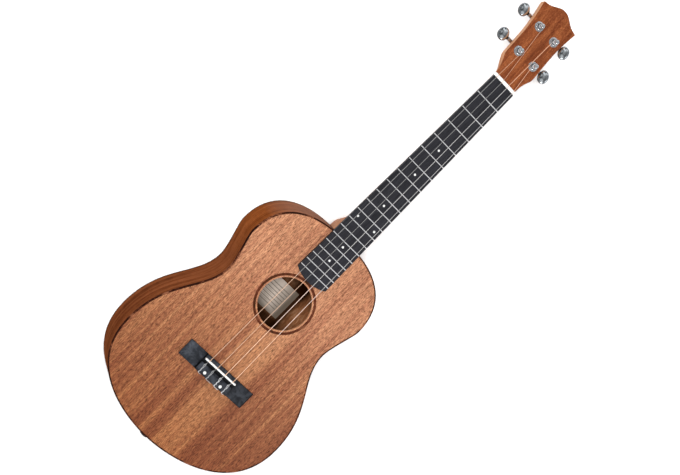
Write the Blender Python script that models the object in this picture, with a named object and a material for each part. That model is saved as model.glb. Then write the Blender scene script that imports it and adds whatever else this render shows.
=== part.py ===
"""Baritone ukulele, lying on its back with the strings up.

Frame: +X is the treble side, +Y runs from the tail to the headstock, +Z comes
out of the soundboard. The origin is under the middle of the whole instrument,
on the surface that the back rests on. Dimensions are in millimetres and are
turned into metres by MM when a mesh is made. Along the instrument, positions
are first counted from the theoretical saddle point, and ORIGIN_Y moves them to
the middle of the instrument.
"""
import bpy
import bmesh
import math
from mathutils import Vector

MM = 0.001
GAP = 0.3                      # joint line between two glued or resting pieces

# ---------------------------------------------------------------- scale
SCALE_LENGTH = 510.0           # nut to theoretical saddle
COMPENSATION = 1.5             # saddle set back from the theoretical point
FRET_COUNT = 19
JOINT_FRET = 14                # the neck meets the body here
NUT_SPACING = 10.0             # string to string at the nut
SADDLE_SPACING = 13.9          # string to string at the saddle

# ---------------------------------------------------------------- body
BODY_DEPTH = 76.0
TAIL_Y = -128.8                # end of the lower bout
NECK_END_Y = 227.5             # end of the upper bout
WIDEST = (133.2, -31.0)        # half width and place of the lower bout
WAIST = (86.5, 101.5)
UPPER = (98.7, 155.5)
# Handle lengths of the half outline's four cubic curves.
TAIL_HANDLE = 38.0
WIDEST_HANDLES = (85.0, 69.5)
WAIST_HANDLES = (42.5, 14.5)
UPPER_HANDLES = (9.7, 75.5)
NECK_HANDLE = 15.0
OUTLINE_STEPS = 12             # points on each of the four curves

TOP_THICKNESS = 2.4
BACK_THICKNESS = 2.4
RIB_THICKNESS = 2.2
BINDING_WIDTH = 1.8
BINDING_HEIGHT = 3.6
HOLE_Y = 115.8
HOLE_RADIUS = 35.4
ROSETTE_INNER = 37.8
ROSETTE_OUTER = 40.4
ROSETTE_DEPTH = 1.0

NECK_BLOCK_WIDTH = 66.0
NECK_BLOCK_LENGTH = 26.0
TAIL_BLOCK_WIDTH = 54.0
TAIL_BLOCK_LENGTH = 15.0
TENON_WIDTH = 20.0
TENON_LENGTH = 15.0
TENON_LOW, TENON_HIGH = 20.0, 68.0

# ---------------------------------------------------------------- fretboard
BOARD_THICKNESS = 4.7
BOARD_WIDTH_NUT = 37.3
BOARD_WIDTH_LAST = 50.2        # at the last fret
BOARD_END_Y = 156.5            # middle of the rounded end, by the soundhole
BOARD_CORNER_Y = 163.0
FRET_WIDTH = 1.5
FRET_HEIGHT = 0.95
FRET_BEVEL = 0.7               # slope of the ends
TANG_WIDTH = 0.5
TANG_DEPTH = 1.9
SLOT_WIDTH = 0.7
SLOT_DEPTH = 2.3
NUT_LENGTH = 37.7
NUT_THICKNESS = 4.6
NUT_TOP = 82.9

# ---------------------------------------------------------------- neck
NECK_DEPTH_NUT = 14.0
NECK_DEPTH_HEEL = 16.5
HEEL_DEPTH = 71.0
HEEL_CAP = 4.0                 # length of the heel's foot
HEEL_SWEEP = 27.0              # length of its sweep into the neck
HEEL_HALF_WIDTH = 12.5         # at the foot
HEAD_TILT = math.radians(13.0)
HEAD_THICKNESS = 10.8
HEAD_FACE_Z = 77.0             # face of the headstock at the nut

# ---------------------------------------------------------------- bridge
BRIDGE_HALF_LENGTH = 55.3
BRIDGE_FRONT = 3.8
BRIDGE_BACK = -20.9
BRIDGE_WING = 4.1              # height of the wings beside the block
BRIDGE_CENTRE = 7.1            # height of the bed in front of the channel
BRIDGE_CENTRE_HALF = 27.5
TIE_BLOCK_HEIGHT = 8.2
TIE_BLOCK_FRONT = -11.4        # top edge of the slope behind the channel
CHANNEL_BACK = -7.8
CHANNEL_FRONT = -4.7
CHANNEL_FLOOR = 4.3
TIE_HOLE_FRONT = (-8.8, 6.5)   # where a tie hole leaves the slope
TIE_HOLE_BACK = (-20.9, 4.4)
SADDLE_Y = -1.9
SADDLE_THICKNESS = 2.5
SADDLE_LENGTH = 53.2
SADDLE_SLOT_DEPTH = 3.8
SADDLE_TOP = 86.9

# ---------------------------------------------------------------- strings
STRING_NAMES = ("string_4_d", "string_3_g", "string_2_b", "string_1_e")
STRING_RADII = (0.42, 0.38, 0.45, 0.38)
STRING_Z_SADDLE = 87.55
STRING_Z_NUT = 82.5

# ---------------------------------------------------------------- tuners
POST_X = 14.3
POST_V = (41.1, 84.3)          # from the back of the nut, along the headstock
WORM_OFFSET = 6.8              # worm axis to post axis, toward the tip
WORM_W = -14.5                 # worm axis from the headstock's face
WHEEL_TEETH = 14
WHEEL_PITCH_R = 4.5
WHEEL_TIP_R = 5.0
WHEEL_ROOT_R = 3.75
WHEEL_HALF = 1.8
WORM_PITCH_R = WORM_OFFSET - WHEEL_PITCH_R
WORM_CREST_R = 2.85
WORM_ROOT_R = 1.6
WORM_LEAD = 2.0 * math.pi * WHEEL_PITCH_R / WHEEL_TEETH
WORM_TURNS = 4
CREST_WIDTH = 0.45
THREAD_BASE = 0.98
TOOTH_TIP = 0.48
TOOTH_BASE = 1.02
BUTTON_X = 40.0                # middle of the button from the centre line
BUTTON_U = 7.9
BUTTON_V = 9.4
BUTTON_W = 3.5
SHAFT_SIDES = 12
POST_WAIST_R = 2.2
POST_WAIST_W = 6.3
STRING_ON_POST_R = 2.95

STRAP_BUTTON_LENGTH = 8.0
STRAP_BUTTON_R = 6.0
STRAP_BUTTON_Z = 40.0

TOP_Z = BODY_DEPTH
BOARD_Z = TOP_Z + GAP
BOARD_TOP = BOARD_Z + BOARD_THICKNESS
NUT_FRONT = SCALE_LENGTH - COMPENSATION + GAP
NUT_BACK = NUT_FRONT + NUT_THICKNESS
HEAD_Y = NUT_BACK + GAP        # the headstock's face starts here
HEAD_LENGTH = 125.3
HEEL_Y = NECK_END_Y + GAP      # plane where the heel meets the body

TIP_Y = HEAD_Y + HEAD_LENGTH * math.cos(HEAD_TILT)
BUTTON_END_Y = TAIL_Y - STRAP_BUTTON_LENGTH
ORIGIN_Y = 0.5 * (TIP_Y + BUTTON_END_Y)


# ================================================================ helpers
def clear_scene():
    for ob in list(bpy.data.objects):
        bpy.data.objects.remove(ob, do_unlink=True)
    for block in (bpy.data.meshes, bpy.data.curves, bpy.data.materials):
        for item in list(block):
            block.remove(item)


def material(name, colour, roughness, metallic=0.0):
    m = bpy.data.materials.new(name)
    m.use_nodes = True
    p = m.node_tree.nodes["Principled BSDF"]
    p.inputs["Base Color"].default_value = (*colour, 1.0)
    p.inputs["Roughness"].default_value = roughness
    p.inputs["Metallic"].default_value = metallic
    m.diffuse_color = (*colour, 1.0)
    return m


def place(y):
    return y - ORIGIN_Y


def mesh_object(name, verts, faces, mat, parent=None, location=(0, 0, 0), smooth=None):
    """Makes an object from points in millimetres about its own origin."""
    bm = bmesh.new()
    vs = [bm.verts.new((x * MM, y * MM, z * MM)) for x, y, z in verts]
    for f in faces:
        bm.faces.new([vs[i] for i in f])
    bmesh.ops.triangulate(bm, faces=[f for f in bm.faces if len(f.verts) > 4])
    bmesh.ops.recalc_face_normals(bm, faces=bm.faces)
    me = bpy.data.meshes.new(name)
    bm.to_mesh(me)
    bm.free()
    if smooth is not None:
        me.shade_smooth()
        me.set_sharp_from_angle(angle=math.radians(smooth))
    ob = bpy.data.objects.new(name, me)
    bpy.context.scene.collection.objects.link(ob)
    if mat is not None:
        me.materials.append(mat)
    ob.location = [c * MM for c in location]
    if parent is not None:
        ob.parent = parent
    return ob


def body_object(name, verts, faces, mat, smooth=None):
    """Makes an object whose points are counted from the saddle point."""
    return mesh_object(name, [(x, place(y), z) for x, y, z in verts], faces, mat, smooth=smooth)


def cutter(ob):
    ob.hide_render = True
    ob.display_type = "WIRE"
    return ob


def boolean(target, tool, operation="DIFFERENCE"):
    mod = target.modifiers.new(operation.title(), "BOOLEAN")
    mod.operation = operation
    mod.solver = "EXACT"
    mod.object = tool
    return mod


def prism(outline, low, high):
    """A flat outline (x, y) extruded from low to high."""
    n = len(outline)
    verts = [(x, y, low) for x, y in outline] + [(x, y, high) for x, y in outline]
    faces = [list(range(n))[::-1], list(range(n, 2 * n))]
    faces += [[i, (i + 1) % n, n + (i + 1) % n, n + i] for i in range(n)]
    return verts, faces


def box(x0, x1, y0, y1, z0, z1):
    return prism([(x0, y0), (x1, y0), (x1, y1), (x0, y1)], z0, z1)


def join_shapes(shapes):
    verts, faces = [], []
    for v, f in shapes:
        k = len(verts)
        verts += v
        faces += [[i + k for i in face] for face in f]
    return verts, faces


def along_x(profile, x0, x1):
    """A profile (y, z) extruded along X."""
    n = len(profile)
    verts = [(x0, y, z) for y, z in profile] + [(x1, y, z) for y, z in profile]
    faces = [list(range(n)), list(range(n, 2 * n))[::-1]]
    faces += [[i, n + i, n + (i + 1) % n, (i + 1) % n] for i in range(n)]
    return verts, faces


def rings(loops, closed_start=True, closed_end=True):
    """Skins a row of equal loops. A loop of one point is a pole."""
    verts, faces, start = [], [], []
    for loop in loops:
        start.append(len(verts))
        verts += loop
    for a, b in zip(range(len(loops) - 1), range(1, len(loops))):
        na, nb = len(loops[a]), len(loops[b])
        n = max(na, nb)
        for i in range(n):
            j = (i + 1) % n
            if na == 1:
                faces.append([start[a], start[b] + j, start[b] + i])
            elif nb == 1:
                faces.append([start[a] + i, start[a] + j, start[b]])
            else:
                faces.append([start[a] + i, start[a] + j, start[b] + j, start[b] + i])
    if closed_start and len(loops[0]) > 1:
        faces.append(list(range(start[0], start[0] + len(loops[0])))[::-1])
    if closed_end and len(loops[-1]) > 1:
        faces.append(list(range(start[-1], start[-1] + len(loops[-1]))))
    return verts, faces


def circle(radius, z, sides, phase=0.0):
    return [(radius * math.cos(phase + 2 * math.pi * i / sides),
             radius * math.sin(phase + 2 * math.pi * i / sides), z) for i in range(sides)]


def cylinder_z(radius, z0, z1, sides, cx=0.0, cy=0.0):
    return rings([[(x + cx, y + cy, z) for x, y, z in circle(radius, z0, sides)],
                  [(x + cx, y + cy, z) for x, y, z in circle(radius, z1, sides)]])


def cylinder_x(radius, x0, x1, sides, cy=0.0, cz=0.0):
    loops = [[(x, cy + a, cz + b) for a, b, _ in circle(radius, 0, sides)] for x in (x0, x1)]
    return rings(loops)


def cylinder_y(radius, y0, y1, sides, cx=0.0, cz=0.0):
    loops = [[(cx + a, y, cz + b) for a, b, _ in circle(radius, 0, sides)] for y in (y0, y1)]
    return rings(loops)


def turned(profile, sides):
    """Turns (radius, z) pairs about Z; a radius of 0 is a pole."""
    loops = []
    for r, z in profile:
        loops.append([(0.0, 0.0, z)] if r == 0 else circle(r, z, sides))
    return rings(loops)


def fret_y(n):
    return -COMPENSATION + SCALE_LENGTH * 2.0 ** (-n / 12.0)


def board_half(y):
    slope = (BOARD_WIDTH_LAST - BOARD_WIDTH_NUT) / (fret_y(0) - fret_y(FRET_COUNT))
    return 0.5 * (BOARD_WIDTH_NUT + slope * (fret_y(0) - y))


# ================================================================ body outline
def bezier(p0, p1, p2, p3, t):
    s = 1.0 - t
    return tuple(s ** 3 * a + 3 * s * s * t * b + 3 * s * t * t * c + t ** 3 * d
                 for a, b, c, d in zip(p0, p1, p2, p3))


def outline_curves():
    wx, wy = WIDEST
    ax, ay = WAIST
    ux, uy = UPPER
    return (
        ((0.0, TAIL_Y), (TAIL_HANDLE, TAIL_Y), (wx, wy - WIDEST_HANDLES[0]), (wx, wy)),
        ((wx, wy), (wx, wy + WIDEST_HANDLES[1]), (ax, ay - WAIST_HANDLES[0]), (ax, ay)),
        ((ax, ay), (ax, ay + WAIST_HANDLES[1]), (ux, uy - UPPER_HANDLES[0]), (ux, uy)),
        ((ux, uy), (ux, uy + UPPER_HANDLES[1]), (NECK_HANDLE, NECK_END_Y), (0.0, NECK_END_Y)),
    )


def half_outline(inset=0.0, steps=OUTLINE_STEPS):
    """Treble half of the body's outline, from tail to neck, moved inward."""
    pts = []
    curves = outline_curves()
    for k, c in enumerate(curves):
        for i in range(steps + (1 if k == len(curves) - 1 else 0)):
            t = i / steps
            # Closer points at the two ends, where the outline turns fastest.
            if k == 0:
                t = t ** 1.15
            if k == len(curves) - 1:
                t = 1.0 - (1.0 - t) ** 1.15
            x, y = bezier(*c, t)
            e = 1e-4
            x0, y0 = bezier(*c, max(0.0, t - e))
            x1, y1 = bezier(*c, min(1.0, t + e))
            dx, dy = x1 - x0, y1 - y0
            d = math.hypot(dx, dy)
            pts.append((x - inset * dy / d, y + inset * dx / d))
    pts[0] = (0.0, pts[0][1])
    pts[-1] = (0.0, pts[-1][1])
    return pts


def outline_at(inset, x, end):
    """Y of the outline at a half width x, at the tail (end 0) or neck (end 1)."""
    pts = half_outline(inset, 48)
    pts = pts if end == 0 else pts[::-1]
    for (xa, ya), (xb, yb) in zip(pts, pts[1:]):
        if xa <= x <= xb and xb > xa:
            return ya + (yb - ya) * (x - xa) / (xb - xa)
    return pts[0][1]


def half_width_at(inset, y):
    """Half width of the outline at y."""
    best = 0.0
    pts = half_outline(inset, 48)
    for (xa, ya), (xb, yb) in zip(pts, pts[1:]):
        if min(ya, yb) <= y <= max(ya, yb) and ya != yb:
            best = max(best, xa + (xb - xa) * (y - ya) / (yb - ya))
    return best


def plate(inset, low, high):
    """A flat plate of the body's outline, built of strips across it."""
    half = half_outline(inset)
    right = half
    left = [(-x, y) for x, y in half]
    verts = []
    for z in (low, high):
        verts += [(x, y, z) for x, y in right]
        verts += [(x, y, z) for x, y in left[1:-1]]
    n = len(half)
    m = n + n - 2

    def r(i, top):
        return i + (m if top else 0)

    def l(i, top):
        return (i if i in (0, n - 1) else n + i - 1) + (m if top else 0)

    faces = []
    for top in (False, True):
        for i in range(n - 1):
            if i == 0:
                f = [r(0, top), r(1, top), l(1, top)]
            elif i == n - 2:
                f = [r(i, top), r(i + 1, top), l(i, top)]
            else:
                f = [r(i, top), r(i + 1, top), l(i + 1, top), l(i, top)]
            faces.append(f if top else f[::-1])
    for i in range(n - 1):
        faces.append([r(i, False), r(i + 1, False), r(i + 1, True), r(i, True)])
        faces.append([l(i + 1, False), l(i, False), l(i, True), l(i + 1, True)])
    return verts, faces


def ring_band(inset_out, inset_in, low, high):
    """A closed band that follows the whole outline, such as the binding."""
    loops = []
    for inset, z in ((inset_out, low), (inset_out, high), (inset_in, high), (inset_in, low)):
        half = half_outline(inset)
        loops.append([(x, y, z) for x, y in half] + [(-x, y, z) for x, y in half[-2:0:-1]])
    verts = [v for loop in loops for v in loop]
    n = len(loops[0])
    faces = []
    for k in range(4):
        for i in range(n):
            j = (i + 1) % n
            a, b = k * n, ((k + 1) % 4) * n
            faces.append([a + i, a + j, b + j, b + i])
    return verts, faces


def rib(side):
    """One bent side, from the tail seam to the tenon's slot at the neck."""
    low = BACK_THICKNESS + GAP
    high = TOP_Z - BINDING_HEIGHT - GAP
    outer = half_outline(0.0)
    inner = half_outline(RIB_THICKNESS)
    seam = 0.5 * GAP
    slot = 0.5 * TENON_WIDTH + GAP

    def trim(pts, inset):
        keep = [(x, y) for x, y in pts if x > seam + 0.5]
        last = max(i for i, (x, y) in enumerate(keep) if x > slot + 0.5)
        keep = keep[:last + 1]
        return ([(seam, outline_at(inset, seam, 0))] + keep
                + [(slot, outline_at(inset, slot, 1))])

    a = trim(outer, 0.0)
    b = trim(inner, RIB_THICKNESS)
    n = min(len(a), len(b))
    a = a[:n - 1] + [a[-1]]
    b = b[:n - 1] + [b[-1]]
    loops = []
    for pts, z in ((a, low), (a, high), (b, high), (b, low)):
        loops.append([(side * x, y, z) for x, y in pts])
    verts = [v for loop in loops for v in loop]
    faces = []
    for k in range(4):
        p, q = k * n, ((k + 1) % 4) * n
        for i in range(n - 1):
            faces.append([p + i, p + i + 1, q + i + 1, q + i])
    faces.append([0, n, 2 * n, 3 * n])
    faces.append([n - 1, 2 * n - 1, 3 * n - 1, 4 * n - 1])
    return verts, faces


def brace(y, half, width, height, foot, z_glue, sign, taper):
    """A cross brace with tapered ends; sign is the way it stands off its plate."""
    prof = [(-half, foot), (-half + taper, height), (half - taper, height), (half, foot)]
    verts, faces = [], []
    w = 0.5 * width
    section = ((-w, 0.0), (w, 0.0), (w, 0.72), (0.35 * w, 1.0), (-0.35 * w, 1.0), (-w, 0.72))
    loops = []
    for x, h in prof:
        loops.append([(x, y + dy, z_glue + sign * h * k) for dy, k in section])
    return rings(loops)


def turn_shape(verts, angle, cx, cy):
    c, s = math.cos(angle), math.sin(angle)
    return [(cx + (x - cx) * c - (y - cy) * s, cy + (x - cx) * s + (y - cy) * c, z)
            for x, y, z in verts]


# ================================================================ build
def build_body(mats):
    top_in = BINDING_WIDTH + GAP
    inner = RIB_THICKNESS + GAP
    board_under = TOP_Z - TOP_THICKNESS

    top = body_object("soundboard", *plate(top_in, board_under, TOP_Z), mats["soundboard"])
    hole = cutter(body_object("cut_soundhole",
                              *cylinder_z(HOLE_RADIUS, board_under - 3, TOP_Z + 3, 48, 0, HOLE_Y), None))
    boolean(top, hole)
    groove_shape = rings([[(x, y + HOLE_Y, z) for x, y, z in circle(r, z, 48)] for r, z in (
        (ROSETTE_INNER - 0.15, TOP_Z - ROSETTE_DEPTH - 0.15),
        (ROSETTE_OUTER + 0.15, TOP_Z - ROSETTE_DEPTH - 0.15),
        (ROSETTE_OUTER + 0.15, TOP_Z + 2),
        (ROSETTE_INNER - 0.15, TOP_Z + 2),
        (ROSETTE_INNER - 0.15, TOP_Z - ROSETTE_DEPTH - 0.15))], False, False)
    boolean(top, cutter(body_object("cut_rosette", *close_torus(groove_shape, 48), None)))
    ros = rings([[(x, y + HOLE_Y, z) for x, y, z in circle(r, z, 48)] for r, z in (
        (ROSETTE_INNER, TOP_Z - ROSETTE_DEPTH), (ROSETTE_OUTER, TOP_Z - ROSETTE_DEPTH),
        (ROSETTE_OUTER, TOP_Z), (ROSETTE_INNER, TOP_Z), (ROSETTE_INNER, TOP_Z - ROSETTE_DEPTH))],
        False, False)
    body_object("rosette", *close_torus(ros, 48), mats["rosette"], smooth=40)

    body_object("back_plate", *plate(0.0, 0.0, BACK_THICKNESS), mats["back_plate"])
    body_object("binding", *ring_band(0.0, BINDING_WIDTH, TOP_Z - BINDING_HEIGHT, TOP_Z), mats["binding"])

    screw_hole = cutter(body_object("cut_strap_screw", *cylinder_y(
        2.3, TAIL_Y - 4, TAIL_Y + TAIL_BLOCK_LENGTH + 8, 12, 0, STRAP_BUTTON_Z), None))
    for name, side in (("rib_bass", -1), ("rib_treble", 1)):
        r = body_object(name, *rib(side), mats[name])
        boolean(r, screw_hole)

    low, high = BACK_THICKNESS + GAP, board_under - GAP
    half = 0.5 * NECK_BLOCK_WIDTH
    xs = [half * (i / 6.0 - 1.0) for i in range(13)]
    line = [(x, outline_at(inner, abs(x), 1)) for x in xs]
    base = line[6][1] - NECK_BLOCK_LENGTH
    block = body_object("neck_block", *prism([(half, base + 3), (half - 3, base), (-half + 3, base),
                                              (-half, base + 3)][::-1] + line[::-1], low, high),
                        mats["neck_block"])
    mortise = cutter(body_object("cut_mortise", *box(
        -0.5 * TENON_WIDTH - GAP, 0.5 * TENON_WIDTH + GAP, HEEL_Y - TENON_LENGTH - GAP, HEEL_Y + 5,
        TENON_LOW - GAP, TENON_HIGH + GAP), None))
    boolean(block, mortise)

    half = 0.5 * TAIL_BLOCK_WIDTH
    xs = [half * (i / 5.0 - 1.0) for i in range(11)]
    line = [(x, outline_at(inner, abs(x), 0)) for x in xs]
    base = line[5][1] + TAIL_BLOCK_LENGTH
    block = body_object("tail_block", *prism(line + [(half, base - 3), (half - 3, base),
                                                    (-half + 3, base), (-half, base - 3)], low, high),
                        mats["tail_block"])
    boolean(block, screw_hole)

    # Braces under the soundboard and on the back.
    glue_top = board_under - GAP
    for name, y, width, height in (("brace_top_upper", 176.0, 8.0, 11.0), ("brace_top_lower", 62.0, 8.0, 11.0)):
        h = half_width_at(inner + 0.6, y) - 1.5
        body_object(name, *brace(y, h, width, height, 2.5, glue_top, -1, 22.0), mats[name])
    glue_back = BACK_THICKNESS + GAP
    for name, y in (("brace_back_upper", 158.0), ("brace_back_lower", 12.0)):
        h = half_width_at(inner + 0.6, y) - 1.5
        body_object(name, *brace(y, h, 9.0, 11.0, 2.5, glue_back, 1, 24.0), mats[name])
    for name, side in (("fan_brace_bass", -1), ("fan_brace_treble", 1)):
        verts, faces = brace(0.0, 62.0, 6.0, 7.0, 1.5, glue_top, -1, 26.0)
        angle = math.radians(90.0) + side * math.radians(8.0)
        verts = [(x + side * 34.0, y - 22.0, z) for x, y, z in turn_shape(verts, angle, 0, 0)]
        body_object(name, verts, faces, mats[name])

    # Thin pad under the bridge, between the fan braces.
    body_object("bridge_patch", *box(-24.0, 24.0, BRIDGE_BACK - 4.0, BRIDGE_FRONT + 6.0, glue_top - 2.0, glue_top),
                mats["bridge_patch"])

    # Strap button: a turned button with its screw in one line along Y.
    profile = [(0, TAIL_BLOCK_LENGTH - 2.0), (1.9, TAIL_BLOCK_LENGTH - 4.0), (1.9, -GAP), (3.4, -GAP),
               (3.6, -1.7), (3.2, -3.4), (3.9, -4.7), (5.6, -5.4), (STRAP_BUTTON_R, -6.2),
               (5.5, -7.1), (3.2, -STRAP_BUTTON_LENGTH + 0.15), (0, -STRAP_BUTTON_LENGTH)]
    verts, faces = turned(profile, 16)
    verts = [(x, TAIL_Y + z, STRAP_BUTTON_Z + y) for x, y, z in verts]
    body_object("strap_button", verts, faces, mats["strap_button"], smooth=35)


def close_torus(shape, sides):
    """Welds the last loop of a ring shape to its first one."""
    verts, faces = shape
    n = len(verts) - sides
    return verts[:n], [[i if i < n else i - n for i in f] for f in faces]


def heel_depth(y):
    """Depth of the neck under the fretboard's glue line."""
    t = (HEAD_Y - y) / (HEAD_Y - HEEL_Y)
    shaft = NECK_DEPTH_NUT + (NECK_DEPTH_HEEL - NECK_DEPTH_NUT) * t
    a = y - HEEL_Y
    if a <= HEEL_CAP:
        return HEEL_DEPTH
    u = (a - HEEL_CAP) / HEEL_SWEEP
    if u >= 1.0:
        return shaft
    return shaft + (HEEL_DEPTH - shaft) * (0.5 + 0.5 * math.cos(math.pi * u ** 1.1))


def neck_section(y, points=9):
    """Half-round section of the neck at y, from the treble edge round to the bass edge."""
    top = TOP_Z
    half = board_half(min(y, fret_y(0))) - 0.2
    if y > HEAD_Y - 2:
        half = board_half(fret_y(0)) - 0.6
        top = min(TOP_Z, HEAD_FACE_Z - (y - HEAD_Y) * math.tan(HEAD_TILT) - 1.2)
    depth = heel_depth(y)
    shaft = NECK_DEPTH_HEEL
    deep = max(0.0, min(1.0, (depth - shaft) / (HEEL_DEPTH - shaft)))
    bottom = TOP_Z - depth
    power = 1.75 + 2.2 * deep
    foot = HEEL_HALF_WIDTH
    loop = []
    for i in range(2 * points + 1):
        a = math.pi * i / (2 * points)
        ca, sa = math.cos(a), math.sin(a)
        x = math.copysign(abs(ca) ** (2.0 / power), ca)
        z = abs(sa) ** (2.0 / power)
        h = half + (foot - half) * deep * z ** 1.6
        loop.append((h * x, y, top - (top - bottom) * z))
    return loop


def build_neck(mats, frame):
    ys = [HEEL_Y + d for d in (0.0, HEEL_CAP)]
    ys += [HEEL_Y + HEEL_CAP + HEEL_SWEEP * u for u in (0.14, 0.28, 0.4, 0.5, 0.6, 0.7, 0.8, 0.9, 1.0)]
    start = ys[-1]
    ys += [start + (HEAD_Y - 3 - start) * i / 6.0 for i in range(1, 7)]
    ys += [HEAD_Y + 6.0, HEAD_Y + 14.0, HEAD_Y + 22.5]
    loops = [neck_section(y) for y in ys]
    neck = body_object("neck", *rings(loops), mats["neck"], smooth=50)

    outline = head_outline()
    plate_shape = prism(outline, -HEAD_THICKNESS, 0.0)
    head = mesh_object("add_headstock", *plate_shape, None, parent=frame)
    boolean(neck, cutter(head), "UNION")
    tenon = cutter(body_object("add_tenon", *box(
        -0.5 * TENON_WIDTH, 0.5 * TENON_WIDTH, HEEL_Y - TENON_LENGTH, HEEL_Y + 4.0,
        TENON_LOW, TENON_HIGH), None))
    boolean(neck, tenon, "UNION")
    holes = []
    for v in POST_V:
        for side in (-1, 1):
            holes.append(cylinder_z(4.65, -HEAD_THICKNESS - 3, 3.0, 16, side * POST_X, v))
    boolean(neck, cutter(mesh_object("cut_post_holes", *join_shapes(holes), None, parent=frame)))


def head_outline():
    """Outline of the headstock, (u, v) from the back of the nut."""
    # Distance along the headstock and half width, from the nut to the ears.
    side = [(18.4, 0.0), (19.0, 5.0), (19.8, 10.0), (21.2, 15.0), (23.2, 20.0), (25.5, 25.0), (26.2, 28.5),
            (26.2, 33.0), (26.0, 46.0), (25.9, 61.0), (26.1, 75.0), (26.9, 85.0), (28.0, 95.0), (29.5, 105.0),
            (30.8, 112.6), (30.3, 113.9), (25.6, 114.7), (21.6, 115.7), (18.4, 117.1), (15.0, 119.2),
            (11.6, 121.3), (8.4, 123.2), (5.4, 124.5), (2.7, 125.1)]
    return side + [(0.0, HEAD_LENGTH)] + [(-x, y) for x, y in side[::-1]]


def build_board(mats):
    nut_end = fret_y(0)
    half_end = board_half(BOARD_CORNER_Y)
    inner = half_end - 0.5
    radius = (inner ** 2 + (BOARD_CORNER_Y - BOARD_END_Y) ** 2) / (2 * (BOARD_CORNER_Y - BOARD_END_Y))
    cy = BOARD_END_Y + radius
    arc = math.asin(inner / radius)
    pts = []
    for i in range(15):
        a = -arc + 2 * arc * i / 14.0
        pts.append((radius * math.sin(a), cy - radius * math.cos(a)))
    right = [(half_end, BOARD_CORNER_Y + 0.6), (board_half(nut_end), nut_end)]
    left = [(-x, y) for x, y in right[::-1]]
    board = body_object("fretboard", *prism(pts + right + left, BOARD_Z, BOARD_TOP), mats["fretboard"])
    slots = [box(-40, 40, fret_y(n) - 0.5 * SLOT_WIDTH, fret_y(n) + 0.5 * SLOT_WIDTH,
                 BOARD_TOP - SLOT_DEPTH, BOARD_TOP + 3) for n in range(1, FRET_COUNT + 1)]
    boolean(board, cutter(body_object("cut_fret_slots", *join_shapes(slots), None)))

    for n in range(1, FRET_COUNT + 1):
        y = fret_y(n)
        w, h = 0.5 * FRET_WIDTH, FRET_HEIGHT
        seat = BOARD_TOP + 0.05
        t = 0.5 * TANG_WIDTH
        prof = [(-t, BOARD_TOP - TANG_DEPTH), (t, BOARD_TOP - TANG_DEPTH), (t, seat), (w, seat),
                (0.88 * w, seat + 0.5 * h), (0.5 * w, seat + 0.87 * h), (0.0, seat + h),
                (-0.5 * w, seat + 0.87 * h), (-0.88 * w, seat + 0.5 * h), (-w, seat), (-t, seat)]
        half = board_half(y) - 0.1
        name = "fret_%02d" % n
        # The ends slope back over FRET_BEVEL from the board's edges.
        loops = []
        for x, k in ((-half, 0.15), (-half + FRET_BEVEL, 1.0), (half - FRET_BEVEL, 1.0), (half, 0.15)):
            loops.append([(x, y + a, b if b < seat else seat + (b - seat) * k) for a, b in prof])
        body_object(name, *rings(loops), mats[name], smooth=40)

    prof = [(NUT_FRONT, BOARD_Z), (NUT_BACK, BOARD_Z), (NUT_BACK, NUT_TOP - 2.0), (NUT_BACK - 1.2, NUT_TOP - 0.9),
            (NUT_BACK - 2.8, NUT_TOP - 0.2), (NUT_FRONT + 0.8, NUT_TOP), (NUT_FRONT, NUT_TOP - 0.15)]
    nut = body_object("nut", *along_x(prof, -0.5 * NUT_LENGTH, 0.5 * NUT_LENGTH), mats["nut"], smooth=40)
    cuts = []
    for i, r in enumerate(STRING_RADII):
        x = NUT_SPACING * (i - 1.5)
        w = r + 0.12
        low = STRING_Z_NUT - r - 0.15
        shape = along_x([(NUT_FRONT - 2.0, low), (NUT_FRONT + 1.0, low), (NUT_BACK + 2.0, low - 2.6),
                         (NUT_BACK + 2.0, NUT_TOP + 3.0), (NUT_FRONT - 2.0, NUT_TOP + 3.0)], x - w, x + w)
        cuts.append(shape)
    boolean(nut, cutter(body_object("cut_nut_slots", *join_shapes(cuts), None)))


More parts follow.
